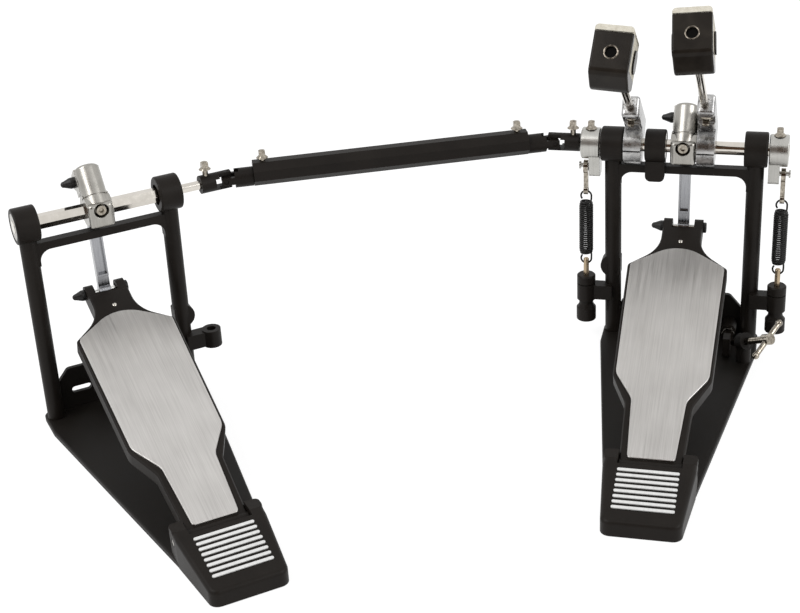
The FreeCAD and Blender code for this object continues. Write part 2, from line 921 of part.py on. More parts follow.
def bearing_hanger():
    half = d.hanger_len / 2
    tab_half = d.hanger_tab_len / 2
    axis_at = (0, d.shaft_height)
    ring = cylinder("hanger_ring", "x", d.hanger_dia, (d.hanger_x - half, d.hanger_x + half), axis_at)
    ring = soften("hanger_rim", ring, d.housing_bevel, lambda edge: round_rim(edge, "x"))
    tab_x = (d.hanger_x - tab_half, d.hanger_x + tab_half)
    saddle = box(
        "hanger_saddle",
        tab_x,
        (d.bar_front - d.hanger_tab_thick, d.bar_front + d.bar_depth),
        (bar_top, d.shaft_height - d.bearing_dia / 2),
    )
    tab = box(
        "hanger_tab",
        tab_x,
        (d.bar_front - d.hanger_tab_thick, d.bar_front),
        (bar_top - d.hanger_tab_drop, bar_top + 1),
    )
    tab = soften(
        "hanger_tab_corners",
        tab,
        d.hanger_tab_corner,
        lambda edge: abs(edge.tangentAt(edge.FirstParameter).y) > 0.99
        and edge.BoundBox.Center.z < bar_top.value - 1,
    )
    bore = cylinder(
        "hanger_bore",
        "x",
        d.bearing_dia + d.press_gap * 2,
        (d.hanger_x - half - 1, d.hanger_x + half + 1),
        axis_at,
    )
    hanger = cut("hanger", fuse("hanger_solid", ring, saddle, tab), bore)
    return finish("inner_bearing_hanger", hanger)


# Shafts


def shaft(node, ends, stub_end=None):
    """Round shaft, with a thinner stub for a yoke where one is given."""
    axis_at = (0, d.shaft_height)
    bar = cylinder(f"{node}_bar", "x", d.shaft_dia, ends, axis_at)
    bar = soften(
        f"{node}_eased",
        bar,
        d.shaft_bevel,
        lambda edge: round_rim(edge, "x"),
        "Part::Chamfer",
    )
    if stub_end is None:
        return finish(node, bar)
    stub = cylinder(f"{node}_stub", "x", d.stub_dia, (stub_end, ends[0] + 1), axis_at)
    return finish(node, fuse(f"{node}_solid", bar, stub))


def hex_shaft():
    """The slave pedal's shaft: a hexagon between the housings, round in the bearings."""
    axis_at = (0, d.shaft_height)
    inner = d.post_x - d.housing_len / 2 + d.seat_gap
    outer = d.post_x + d.housing_len / 2
    middle = prism("left_shaft_hexagon", "x", 6, d.hex_flats, (-inner, inner), axis_at)
    journal = cylinder("left_shaft_journal", "x", d.journal_dia, (-outer, outer + 2), axis_at)
    stub = cylinder("left_shaft_stub", "x", d.stub_dia, (outer, d.yoke_start + d.stub_len), axis_at)
    return finish("left_shaft", fuse("left_shaft_solid", middle, journal, stub), "LeftPedal")


# Drive cam and link


def drive_cam(pedal):
    half = d.cam_width / 2
    x = (-half, half)
    axis_at = (0, d.shaft_height)
    hub = cylinder(f"{pedal}_cam_hub", "x", d.cam_hub_radius * 2, x, axis_at)
    front = box(
        f"{pedal}_cam_front",
        x,
        (d.cam_front, 0),
        (d.shaft_height - d.cam_front_drop, d.shaft_height + d.cam_front_rise),
    )
    front = soften(
        f"{pedal}_cam_corners",
        front,
        d.cam_corner,
        lambda edge: abs(edge.tangentAt(edge.FirstParameter).z) > 0.99
        and edge.BoundBox.Center.y < d.cam_front.value / 2,
    )
    for rim, radius, way in (("brow", d.cam_brow, 1), ("sill", d.holder_edge / 2, -1)):
        front = soften(
            f"{pedal}_cam_{rim}",
            front,
            radius,
            lambda edge, way=way: abs(edge.tangentAt(edge.FirstParameter).x) > 0.99
            and edge.BoundBox.Center.y < d.cam_front.value / 2
            and (edge.BoundBox.Center.z - d.shaft_height.value) * way > 0,
        )
    barrel_at = (0, -d.cam_barrel_shift)
    barrel = cylinder(
        f"{pedal}_cam_barrel", "z", d.cam_barrel_dia, (0, d.cam_arm_len), barrel_at, frame="CamArm"
    )
    barrel = soften(
        f"{pedal}_cam_barrel_eased",
        barrel,
        d.holder_edge,
        lambda edge: isinstance(edge.Curve, Part.Circle)
        and edge.BoundBox.Center.z > d.shaft_height.value + d.cam_hub_radius.value,
    )
    crank_at = (crank_y, crank_z)
    ears = cylinder(f"{pedal}_cam_ears", "x", d.ear_radius * 2, x, crank_at)
    crank_along = d.crank_reach * cos(d.cam_arm_angle - d.crank_angle)
    crank_off = d.crank_reach * sin(d.cam_arm_angle - d.crank_angle)
    cheek = box(
        f"{pedal}_cam_cheek",
        x,
        (-d.cam_barrel_shift, crank_off),
        (crank_along - d.ear_radius * 2, crank_along + d.ear_radius),
        frame="CamArm",
    )
    solid = fuse(f"{pedal}_cam_solid", hub, front, barrel, ears, cheek)
    slot_half = d.link_width / 2 + d.link_side_gap
    slot = box(
        f"{pedal}_cam_slot",
        (-slot_half, slot_half),
        (crank_off - d.ear_radius - d.seat_gap, d.cam_arm_len),
        (d.link_slot_start, d.cam_arm_len * 2),
        frame="CamArm",
    )
    crank_hole = cylinder(
        f"{pedal}_crank_hole",
        "x",
        d.link_pin_dia + d.running_gap * 2,
        (-d.cam_width, d.cam_width),
        crank_at,
    )
    if pedal == "main":
        bore = cylinder(
            "main_cam_bore",
            "x",
            d.shaft_dia + d.press_gap * 2,
            (-d.cam_width, d.cam_width),
            axis_at,
        )
    else:
        bore = prism(
            "left_cam_bore",
            "x",
            6,
            d.hex_flats + d.press_gap * 2,
            (-d.cam_width, d.cam_width),
            axis_at,
        )
    at = (0, cam_screw_z)
    sink = d.cam_front + d.cam_screw_sink
    pocket = cone(
        f"{pedal}_cam_pocket",
        "y",
        (d.cam_screw_pocket, d.cap_screw_dia + d.seat_gap * 2),
        (d.cam_front, sink),
        at,
    )
    screw_way = cylinder(
        f"{pedal}_cam_screw_way", "y", d.key_shank_dia + d.press_gap * 2, (sink - 1, 0), at
    )
    seam_outer = box(
        f"{pedal}_seam_outer",
        (-d.cam_width, d.cam_width),
        (-d.cam_width, -d.cam_barrel_shift),
        (d.cam_seam_at, d.cam_seam_at + d.cam_seam_wide),
        frame="CamArm",
    )
    seam_inner = cylinder(
        f"{pedal}_seam_inner",
        "z",
        d.cam_barrel_dia - d.cam_seam_deep * 2,
        (d.cam_seam_at - 1, d.cam_seam_at + d.cam_seam_wide + 1),
        barrel_at,
        frame="CamArm",
    )
    seam = cut(f"{pedal}_cam_seam", seam_outer, seam_inner)
    cam = cut(f"{pedal}_cam", solid, slot, crank_hole, bore, pocket, screw_way, seam)
    return finish(f"{pedal}_drive_cam", cam, PEDALS[pedal])


def link(pedal):
    """Channelled bar between the toe pin, at its own origin, and the cam pin above it."""
    half = d.link_width / 2
    x = (-half, half)
    depth = d.link_depth / 2
    bar = box(f"{pedal}_link_bar", x, (-depth, depth), (0, link_length))
    lower = cylinder(f"{pedal}_link_knuckle", "x", d.link_eye_radius * 2, x)
    upper = cylinder(f"{pedal}_link_eye", "x", d.link_eye_radius * 2, x, (0, link_length))
    channel_half = d.link_channel_wide / 2
    channel = box(
        f"{pedal}_link_channel",
        (-channel_half, channel_half),
        (-d.link_depth, -depth + d.link_channel_deep),
        (d.link_channel_low, d.link_channel_high),
    )
    step = box(
        f"{pedal}_link_step",
        (-d.link_width, d.link_width),
        (-d.link_depth, -depth + d.link_step_deep),
        (d.link_step_low, d.link_step_high),
    )
    bore = d.link_pin_dia + d.press_gap * 2
    holes = [
        cylinder(f"{pedal}_link_low_hole", "x", bore, (-d.link_width, d.link_width)),
        cylinder(
            f"{pedal}_link_high_hole", "x", bore, (-d.link_width, d.link_width), (0, link_length)
        ),
    ]
    solid = fuse(f"{pedal}_link_solid", bar, lower, upper)
    shaped = cut(f"{pedal}_link_shape", solid, channel, step, *holes)
    return finish(f"{pedal}_link", shaped, f"{PEDALS[pedal]}LinkBar")


def grip(name, start, at):
    """Tapered black grip on the left end of a pin."""
    body = cone(
        f"{name}_cone", "x", (d.grip_tip_dia, d.grip_dia), (start - d.grip_len, start - d.grip_len / 3), at
    )
    collar = cylinder(f"{name}_collar", "x", d.grip_dia, (start - d.grip_len / 3, start), at)
    tip = ball(f"{name}_tip", d.grip_tip_dia, (start - d.grip_len, *at))
    return [body, collar, tip]


def link_pins(pedal):
    lug_out = d.board_neck_half + d.seat_gap
    ear_out = d.cam_width / 2 + d.seat_gap
    toe = (0, 0)
    crank = (0, link_length)
    toe_bar = cylinder(f"{pedal}_toe_bar", "x", d.link_pin_dia, (-lug_out, lug_out), toe)
    toe_cap = cylinder(f"{pedal}_toe_cap", "x", d.grip_dia, (lug_out, lug_out + d.cap_len), toe)
    toe_cap = soften(
        f"{pedal}_toe_cap_eased",
        toe_cap,
        d.cap_len / 3,
        lambda edge: round_rim(edge, "x") and edge.BoundBox.Center.x > lug_out.value + 1,
    )
    toe_pin = fuse(f"{pedal}_toe_pin", toe_bar, toe_cap, *grip(f"{pedal}_toe_grip", -lug_out, toe))
    crank_bar = cylinder(f"{pedal}_crank_bar", "x", d.link_pin_dia, (-ear_out, ear_out), crank)
    crank_pin = fuse(
        f"{pedal}_crank_pin", crank_bar, *grip(f"{pedal}_crank_grip", -ear_out, crank)
    )
    pins = group(f"{pedal}_pin_pair", toe_pin, crank_pin)
    return finish(f"{pedal}_link_pins", pins, f"{PEDALS[pedal]}LinkBar")


# Footboard


def footboard(pedal):
    low = d.board_top - d.board_thick
    shoulder_at = d.toe_reach - d.board_shoulder_inset
    neck_at = d.toe_reach - d.board_neck_inset
    outline = mirrored(
        [
            (d.board_heel_half, 0),
            (d.board_narrow_half, d.board_narrow_at, d.sheet_curve),
            (d.board_waist_half, d.board_waist_at, d.sheet_curve),
            (d.board_shoulder_half, shoulder_at, d.sheet_corner),
            (d.board_neck_half, neck_at, d.board_neck_curve),
            (d.board_neck_half, d.toe_reach - d.board_neck_end_inset),
        ]
    )
    deck = plate(f"{pedal}_deck", outline, (low, d.board_top), bevel=d.board_bevel)
    knuckle = cylinder(
        f"{pedal}_heel_knuckle",
        "x",
        d.knuckle_radius * 2,
        (-d.board_heel_half, d.board_heel_half),
    )
    toe_at = (d.toe_reach, -d.toe_drop)
    lug = cylinder(
        f"{pedal}_toe_lug",
        "x",
        d.lug_radius * 2,
        (-d.board_neck_half, d.board_neck_half),
        toe_at,
    )
    arm = box(
        f"{pedal}_toe_arm",
        (-d.board_neck_half, d.board_neck_half),
        (neck_at, d.toe_reach),
        (-d.toe_drop - d.lug_radius, -d.toe_drop + d.lug_radius),
    )
    lug_gap = box(
        f"{pedal}_lug_gap",
        (-d.lug_gap_half, d.lug_gap_half),
        (d.toe_reach - d.lug_radius - d.side_gap * 2, d.toe_reach + d.lug_radius * 2),
        (-d.board_thick * 2, d.board_thick),
    )
    toe_hole = cylinder(
        f"{pedal}_toe_hole",
        "x",
        d.link_pin_dia + d.toe_clearance * 2,
        (-d.board_neck_half * 2, d.board_neck_half * 2),
        toe_at,
    )
    heel_hole = cylinder(
        f"{pedal}_heel_hole",
        "x",
        d.heel_pin_dia + d.running_gap * 2,
        (-d.board_heel_half * 2, d.board_heel_half * 2),
    )
    wide_half = d.board_waist_half - d.board_wall * 2
    slim_half = d.board_heel_half - d.board_wall
    hollows = [
        box(
            f"{pedal}_wide_hollow",
            (-wide_half, wide_half),
            (d.board_waist_at + d.board_wall, shoulder_at - d.board_wall),
            (low - 1, d.board_top - d.board_floor),
        ),
        box(
            f"{pedal}_slim_hollow",
            (-slim_half, slim_half),
            (d.knuckle_radius + d.board_wall, d.board_narrow_at),
            (low - 1, d.board_top - d.board_floor),
        ),
    ]
    solid = fuse(f"{pedal}_board_solid", deck, knuckle, lug, arm)
    board = cut(f"{pedal}_board", solid, lug_gap, toe_hole, heel_hole, *hollows)
    return finish(f"{pedal}_footboard", board, f"{PEDALS[pedal]}Board")


def foot_plate(pedal):
    outline = mirrored(
        [
            (d.sheet_heel_half, d.sheet_heel_at, d.sheet_heel_corner),
            (d.sheet_narrow_half, d.sheet_narrow_at, d.sheet_curve),
            (d.sheet_waist_half, d.sheet_waist_at, d.sheet_curve),
            (d.sheet_shoulder_half, d.toe_reach - d.sheet_shoulder_inset, d.sheet_corner),
        ]
    )
    crown = (0, d.toe_reach - d.sheet_crown_inset, d.sheet_crown_radius)
    middle = len(outline) // 2
    outline = outline[:middle] + [crown] + outline[middle:]
    sheet_metal = plate(
        f"{pedal}_sheet",
        outline,
        (d.board_top, d.board_top + d.sheet_thick),
        bevel=d.sheet_thick / 4,
    )
    return finish(f"{pedal}_foot_plate", sheet_metal, f"{PEDALS[pedal]}Board")


# Heel


def heel_plate(pedal):
    outline = mirrored(
        [
            (d.heel_front_half, d.heel_front_y, d.heel_corner),
            (d.heel_half, d.heel_back_y),
            (d.heel_half, d.heel_wing_y, d.heel_edge),
        ]
    )
    block = plate(f"{pedal}_heel_block", outline, (d.heel_low, d.heel_high))
    wide = d.heel_half * 2
    above = box(
        f"{pedal}_above_slope",
        (-wide, wide),
        (d.heel_front_y, -d.heel_front_y),
        (0, d.heel_high * 2),
        frame="HeelSlope",
    )
    slot_half = d.board_heel_half + d.side_gap
    slot = box(
        f"{pedal}_board_slot",
        (-slot_half, slot_half),
        (d.heel_back_y, 0),
        (0, d.heel_high * 2),
    )
    over_base = box(
        f"{pedal}_wing_seat",
        (-wide, wide),
        (d.heel_back_y - d.seat_gap, 0),
        (0, d.base_thick),
    )
    tongue_half = d.base_tongue_half + d.seat_gap
    tongue = box(
        f"{pedal}_tongue_way",
        (-tongue_half, tongue_half),
        (d.base_tongue_y - d.seat_gap, 0),
        (0, d.base_thick),
    )
    hole = cylinder(
        f"{pedal}_heel_pin_way",
        "x",
        d.heel_pin_dia + d.press_gap * 2,
        (-wide, wide),
        (d.heel_pin_y, d.heel_pin_z),
    )
    shaped = cut(f"{pedal}_heel_shape", block, above, slot, over_base, tongue, hole)
    front = d.heel_front_y.value + d.heel_edge.value
    shaped = soften(
        f"{pedal}_heel_eased",
        shaped,
        d.heel_edge,
        lambda edge: edge.BoundBox.YMax < front
        and edge.BoundBox.ZMin > d.base_thick.value
        and abs(edge.tangentAt(edge.FirstParameter).x) > 0.99,
    )
    return finish(f"{pedal}_heel_plate", shaped, PEDALS[pedal])


def heel_strips(pedal):
    half = d.strip_len / 2
    wide = d.strip_wide / 2
    bars = []
    for i in range(int(d.strip_count.value)):
        mid = d.strip_pitch * -i
        bar = box(
            f"{pedal}_strip_bar",
            (-half + wide, half - wide),
            (mid - wide, mid + wide),
            (0, d.strip_thick),
        )
        ends = [
            cylinder(
                f"{pedal}_strip_end", "z", d.strip_wide, (0, d.strip_thick), ((half - wide) * side, mid)
            )
            for side in (-1, 1)
        ]
        bars.append(fuse(f"{pedal}_strip", bar, *ends))
    strips = group(f"{pedal}_strip_set", *bars)
    return finish(f"{pedal}_heel_strips", strips, f"{PEDALS[pedal]}HeelSlope")


def heel_pin(pedal):
    half = d.heel_half - d.seat_gap
    pin = cylinder(
        f"{pedal}_heel_bar", "x", d.heel_pin_dia, (-half, half), (d.heel_pin_y, d.heel_pin_z)
    )
    return finish(f"{pedal}_heel_pin", group(f"{pedal}_heel_pin_set", pin), PEDALS[pedal])


# Hoop plate and clamp


def hoop_plate(pedal):
    y = (d.hoop_plate_y, d.hoop_plate_y + d.hoop_plate_thick)
    outline = mirrored(
        [
            (d.hoop_plate_half, d.base_thick),
            (d.hoop_plate_half, d.hoop_plate_shoulder, d.sheet_corner),
            (d.hoop_plate_top_half, d.hoop_plate_top, d.sheet_corner),
        ]
    )
    wall = plate(f"{pedal}_hoop_wall", outline, y, axis="y")
    ways = [
        cylinder(
            f"{pedal}_hoop_slot_end",
            "y",
            d.hoop_slot_wide,
            (y[0] - 1, y[1] + 1),
            (d.hoop_slot_x + d.hoop_slot_len / 2 * side, d.hoop_slot_z),
        )
        for side in (-1, 1)
    ]
    ways.append(
        box(
            f"{pedal}_hoop_slot",
            (d.hoop_slot_x - d.hoop_slot_len / 2, d.hoop_slot_x + d.hoop_slot_len / 2),
            (y[0] - 1, y[1] + 1),
            (d.hoop_slot_z - d.hoop_slot_wide / 2, d.hoop_slot_z + d.hoop_slot_wide / 2),
        )
    )
    if pedal == "main":
        ways.append(
            cylinder(
                "lever_way",
                "y",
                d.lever_tube_dia + d.running_gap * 2,
                (y[0] - 1, y[1] + 1),
                (d.lever_x, d.lever_z),
            )
        )
    return finish(f"{pedal}_hoop_plate", cut(f"{pedal}_hoop", wall, *ways), PEDALS[pedal])


def clamp_lever():
    at = (d.lever_x, d.lever_z)
    bar_half = d.lever_bar_wide / 2
    behind = d.hoop_plate_y + d.hoop_plate_thick + d.seat_gap
    tube = cylinder("lever_tube", "y", d.lever_tube_dia, (d.lever_tube_front, d.hoop_tongue_end), at)
    bar = box(
        "lever_bar",
        (d.lever_x - bar_half, d.lever_x + bar_half),
        (d.lever_bar_front, d.hoop_plate_y - d.seat_gap),
        (d.lever_bar_low, d.lever_bar_high),
    )
    pad = box(
        "lever_pad",
        (d.lever_x - bar_half + d.seat_gap, d.lever_x - bar_half + d.lever_pad_wide),
        (d.lever_bar_front, d.lever_bar_front + d.lever_pad_len),
        (d.lever_bar_low, d.lever_pad_high),
    )
    jaw = box("lever_jaw", (d.jaw_x, d.lever_x), (behind, d.hoop_tongue_end), (d.jaw_low, d.jaw_high))
    bore = cylinder(
        "lever_bore",
        "y",
        d.clamp_bolt_dia + d.press_gap * 2,
        (d.lever_tube_front - 1, d.hoop_tongue_end + 1),
        at,
    )
    lever = cut("lever", fuse("lever_solid", tube, bar, pad, jaw), bore)
    return finish("clamp_lever", lever)


def clamp_bolt():
    at = (d.lever_x, d.lever_z)
    front = d.lever_tube_front
    head = prism(
        "clamp_bolt_hexagon", "y", 6, d.clamp_bolt_head, (front - d.clamp_bolt_head_len, front), at
    )
    shank = cylinder("clamp_bolt_shank", "y", d.clamp_bolt_dia, (front - 1, d.hoop_tongue_end), at)
    return finish("clamp_bolt", fuse("clamp_bolt_solid", head, shank))


def clamp_screw():
    """Screw with a hub, and the sliding bar through the hub as a second solid."""
    hub_end = d.clamp_screw_out + d.clamp_hub_len
    hub_mid = d.clamp_screw_out + d.clamp_hub_len / 2
    shank = cylinder(
        "clamp_screw_shank",
        "z",
        d.clamp_screw_dia,
        (-d.clamp_screw_in, d.clamp_screw_out + 1),
        frame="ClampScrew",
    )
    hub = cylinder(
        "clamp_screw_hub", "z", d.clamp_hub_dia, (d.clamp_screw_out, hub_end), frame="ClampScrew"
    )
    make_frame("ClampBar", (0, 0, hub_mid), "z", d.clamp_bar_lean, "ClampScrew")
    half = d.clamp_bar_len / 2
    way = cylinder(
        "clamp_bar_way",
        "x",
        d.clamp_bar_dia + d.press_gap * 2,
        (-d.clamp_hub_dia, d.clamp_hub_dia),
        frame="ClampBar",
    )
    bar = cylinder("clamp_bar_rod", "x", d.clamp_bar_dia, (-half, half), frame="ClampBar")
    knobs = [
        ball("clamp_bar_end", d.clamp_bar_dia * 1.3, (half * side, 0, 0), frame="ClampBar")
        for side in (-1, 1)
    ]
    screw = cut("clamp_screw_body", fuse("clamp_screw_solid", shank, hub), way)
    return finish("clamp_screw", group("clamp_screw_set", screw, fuse("clamp_bar", bar, *knobs)))


# Beaters


def beater_holder(side):
    frame = f"{side.capitalize()}Beater"
    half = d.holder_width / 2
    x = (-half, half)
    high = d.holder_boss_high / 2
    hub_at = (-d.beater_offset, 0)
    hub = cylinder(f"{side}_holder_hub", "x", d.holder_hub_radius * 2, x, hub_at)
    boss = box(f"{side}_holder_boss", x, (-high, high), (d.holder_boss_low, d.holder_boss_end))
    boss = soften(
        f"{side}_holder_boss_eased",
        boss,
        d.holder_edge,
        lambda edge: edge.BoundBox.Center.z > 0
        or abs(edge.tangentAt(edge.FirstParameter).z) > 0.99,
    )
    bore = cylinder(
        f"{side}_holder_bore", "x", d.shaft_dia + d.press_gap * 2, (-d.holder_width, d.holder_width), hub_at
    )
    way = cylinder(
        f"{side}_rod_way",
        "z",
        d.rod_dia + d.running_gap * 2,
        (d.holder_boss_low - d.holder_width, d.holder_boss_end + 1),
        frame=f"{side.capitalize()}RodLean",
    )
    mouth = cylinder(
        f"{side}_holder_mouth",
        "z",
        d.holder_mouth_dia,
        (d.holder_boss_end - d.holder_mouth_deep, d.holder_boss_end + 1),
        frame=f"{side.capitalize()}RodLean",
    )
    notch = box(
        f"{side}_holder_notch",
        (-d.holder_width, d.holder_width),
        (-d.holder_boss_high, -high + d.holder_notch_deep),
        (d.holder_screw_at - d.holder_notch_half, d.holder_screw_at + d.holder_notch_half),
    )
    slit = box(
        f"{side}_holder_slit",
        (-d.holder_width, d.holder_width),
        (-d.holder_hub_radius * 2, -d.shaft_dia / 2),
        (-d.holder_slit / 2, d.holder_slit / 2),
        f"{side.capitalize()}HolderSlit",
    )
    seat = make_frame(
        f"{side.capitalize()}HolderSeatLocal",
        (0, -high + d.holder_notch_deep, d.holder_screw_at),
        "x",
        90,
    )
    depth = high - d.holder_notch_deep - d.rod_dia / 2
    hole = screw_hole(f"{side}_holder_screw_way", seat, depth)
    solid = fuse(f"{side}_holder_solid", hub, boss)
    holder = cut(f"{side}_holder", solid, bore, way, mouth, notch, slit, hole)
    return finish(f"{side}_beater_holder", holder, frame)


def beater_rod(side):
    head_at = d.main_head_at if side == "main" else d.left_head_at
    bar = cylinder(f"{side}_rod_bar", "z", d.rod_dia, (d.rod_low, head_at - d.rod_end_inset))
    bar = soften(
        f"{side}_rod_eased", bar, d.shaft_bevel, lambda edge: round_rim(edge, "z"), "Part::Chamfer"
    )
    return finish(
        f"{side}_beater_rod", group(f"{side}_rod", bar), f"{side.capitalize()}Rod"
    )


def head_core(side):
    """Black shell: a core between the side felts, an end plate that bends into the player's side, buttons."""
    inner = d.head_half - d.head_side
    inside = d.head_front + d.head_rim
    core = plate(
        f"{side}_core",
        [
            (inside - 1, -d.head_len),
            (d.head_back, -d.head_len),
            (d.head_back, -1),
            (inside - 1, -1),
        ],
        (-inner, inner),
        axis="x",
    )
    shell = plate(
        f"{side}_shell",
        [
            (d.head_back, -d.head_end_plate),
            (d.head_back, 0),
            (d.head_front, 0, d.head_bend),
            (d.head_bulge, d.head_bulge_at, d.head_bulge_radius),
            (d.head_foot, -d.head_len, d.head_edge),
            (inside, -d.head_len),
            (inside, -d.head_end_plate),
        ],
        (-d.head_half, d.head_half),
        axis="x",
    )
    shell = soften(
        f"{side}_shell_eased",
        shell,
        d.head_round,
        lambda edge: abs(abs(edge.BoundBox.Center.x) - d.head_half.value) < 0.001
        and (edge.BoundBox.Center.z > -0.001 or edge.BoundBox.Center.y < inside.value - 0.5),
    )
    mid = (d.head_len + d.head_end_plate) / -2
    button_half = d.head_half + d.head_button_out
    reach = (d.head_button_len - d.head_button_wide) / 2
    ends = [
        cylinder(
            f"{side}_button_end",
            "x",
            d.head_button_wide,
            (-button_half, button_half),
            (reach * way, mid),
        )
        for way in (-1, 1)
    ]
    middle = box(
        f"{side}_button",
        (-button_half, button_half),
        (-reach, reach),
        (mid - d.head_button_wide / 2, mid + d.head_button_wide / 2),
    )
    return fuse(f"{side}_core_solid", core, shell, middle, *ends)


def beater_head(side):
    frame = f"{side.capitalize()}Head"
    bore = cylinder(f"{side}_head_bore", "z", d.rod_dia + d.running_gap * 2, (-d.head_len - 1, 1))
    mouth = cylinder(
        f"{side}_head_mouth",
        "z",
        d.head_hole_dia,
        (-d.head_end_plate / 3, 1),
    )
    return finish(f"{side}_beater_head", cut(f"{side}_head", head_core(side), bore, mouth), frame)


def beater_felt(side):
    """Felt block over the drum side and down both sides of the shell."""
    frame = f"{side.capitalize()}Head"
    block = plate(
        f"{side}_felt_block",
        mirrored(
            [
                (d.head_half - d.press_gap, d.head_front + d.head_rim),
                (d.head_half - d.press_gap, d.head_back + d.felt_thick, d.felt_edge),
            ]
        ),
        (d.seat_gap - d.head_len, -d.head_end_plate),
    )
    cap = plate(
        f"{side}_felt_cap",
        mirrored(
            [
                (d.head_half - d.press_gap, d.head_back),
                (d.head_half - d.press_gap, d.head_back + d.felt_thick, d.felt_edge),
            ]
        ),
        (d.seat_gap - d.head_len, 0),
        bevel=d.felt_edge / 2,
    )
    felt = cut(f"{side}_felt", fuse(f"{side}_felt_solid", block, cap), head_core(f"{side}_felt"))
    return finish(f"{side}_beater_felt", felt, frame)


# Springs and tension hardware


def rocker(side):
    """Clamp ring on the shaft's outer end, with the arm and pin that pull the spring."""
    sign = 1 if side == "main" else -1
    axis_at = (0, d.shaft_height)

    def outward(first, last):
        """Two distances from the middle as values on X, in rising order."""
        return (sized(first), sized(last)) if sign > 0 else (-sized(last), -sized(first))

    ring = cylinder(
        f"{side}_rocker_ring",
        "x",
        d.rocker_dia,
        outward(d.rocker_x, d.rocker_x + d.rocker_len),
        axis_at,
    )
    ring = soften(
        f"{side}_rocker_rim", ring, d.shaft_bevel, lambda edge: round_rim(edge, "x"), "Part::Chamfer"
    )
    foot = d.shaft_height - d.rocker_arm_drop
    arm = plate(
        f"{side}_rocker_arm",
        [
            (-d.rocker_root_half, d.shaft_height),
            (-d.rocker_arm_half, foot, d.rocker_arm_corner),
            (d.rocker_arm_half, foot, d.rocker_arm_corner),
            (d.rocker_root_half, d.shaft_height),
        ],
        outward(d.rocker_x, d.rocker_x + d.rocker_arm_thick),
        axis="x",
    )
    pin_at = (0, d.shaft_height - d.rocker_pin_reach)
    pin = cylinder(
        f"{side}_rocker_pin", "x", d.rocker_pin_dia, outward(d.rocker_x + 1, d.rocker_pin_end_x), pin_at
    )
    head = cylinder(
        f"{side}_rocker_pin_head",
        "x",
        d.rocker_pin_head,
        outward(d.rocker_pin_end_x, d.rocker_pin_end_x + d.rocker_pin_head_len),
        pin_at,
    )
    bore = cylinder(
        f"{side}_rocker_bore",
        "x",
        d.shaft_dia + d.press_gap * 2,
        outward(d.rocker_x - 1, d.rocker_x + d.rocker_len + 1),
        axis_at,
    )
    seat = make_frame(
        f"{side.capitalize()}RockerSeat",
        (
            (d.rocker_x + d.rocker_len / 2) * sign,
            0,
            d.shaft_height + d.rocker_dia / 2,
        ),
    )
    hole = screw_hole(f"{side}_rocker_screw_way", seat, (d.rocker_dia - d.shaft_dia) / 2)
    return finish(
        f"{side}_spring_rocker",
        cut(f"{side}_rocker", fuse(f"{side}_rocker_solid", ring, arm, pin, head), bore, hole),
    )


spring_foot_z = d.spring_low - d.spring_loop_rise - d.spring_loop_radius
spring_head_z = spring_high + d.spring_loop_rise + d.spring_loop_radius


def spring_clip(side):
    """Chrome link from the rocker's pin, in its long upper eye, to the spring's upper loop."""
    sign = 1 if side == "main" else -1
    x = (d.spring_x * sign - d.clip_thick / 2, d.spring_x * sign + d.clip_thick / 2)
    slot_half = d.clip_slot_wide / 2
    pin_z = d.shaft_height - d.rocker_pin_reach
    high = pin_z + d.rocker_pin_dia / 2 + d.clip_top_gap - slot_half
    low = pin_z - d.rocker_pin_dia / 2 - d.clip_slot_room + slot_half
    outer = d.clip_slot_wide + d.clip_wall * 2
    past = (x[0] - 1, x[1] + 1)
    eye_z = spring_head_z - d.spring_wire / 2 - d.clip_loop_gap + d.clip_eye_hole / 2
    body = [
        cylinder(f"{side}_clip_top", "x", outer, x, (0, high)),
        cylinder(f"{side}_clip_low", "x", outer, x, (0, low)),
        box(f"{side}_clip_middle", x, (-outer / 2, outer / 2), (low, high)),
        box(f"{side}_clip_neck", x, (-d.clip_neck_wide / 2, d.clip_neck_wide / 2), (eye_z, low)),
        cylinder(f"{side}_clip_eye", "x", d.clip_eye_hole + d.clip_eye_wall * 2, x, (0, eye_z)),
    ]
    ways = [
        cylinder(f"{side}_clip_slot_top", "x", d.clip_slot_wide, past, (0, high)),
        cylinder(f"{side}_clip_slot_low", "x", d.clip_slot_wide, past, (0, low)),
        box(f"{side}_clip_slot", past, (-slot_half, slot_half), (low, high)),
        cylinder(f"{side}_clip_eye_way", "x", d.clip_eye_hole, past, (0, eye_z)),
    ]
    clip = cut(f"{side}_clip", fuse(f"{side}_clip_solid", *body), *ways)
    return finish(f"{side}_spring_clip", clip)


def bend(start, heading, end):
    """Arc that leaves a point along a heading and reaches another point."""
    chord = end - start
    way = chord.normalize() if chord.Length else heading
    length = (end - start).Length
    half = heading.getAngle(way) / 2
    middle = start + (heading + way).normalize() * (length / (2 * math.cos(half)))
    return Part.Arc(start, middle, end).toShape()


def biarc(start, heading, end, arriving):
    """Two arcs that join two points with given headings."""
    gap = end - start
    both = heading + arriving
    bent = 2 * (1 - heading.dot(arriving))
    reach = (-gap.dot(both) + math.sqrt(gap.dot(both) ** 2 + bent * gap.dot(gap))) / bent
    first = start + heading * reach
    second = end - arriving * reach
    joint = (first + second) * 0.5
    through = FreeCAD.Vector(second - first).normalize()
    return [bend(start, heading, joint), bend(joint, through, end)]


def coil_point(turn):
    """Point and heading of the coil after a number of turns, its end turns drawn in."""
    turns = spring_turns
    full = d.spring_dia.value / 2
    end = d.spring_end_dia.value / 2
    rise = spring_high.value - d.spring_low.value
    drawn = max(0.0, 1.0 - min(turn, turns - turn) / 2.0)
    radius = full - (full - end) * drawn
    angle = 2 * math.pi * turn
    point = FreeCAD.Vector(
        radius * math.cos(angle), radius * math.sin(angle), d.spring_low.value + rise * turn / turns
    )
    heading = FreeCAD.Vector(
        -math.sin(angle), math.cos(angle), rise / turns / (2 * math.pi * radius)
    ).normalize()
    return point, heading


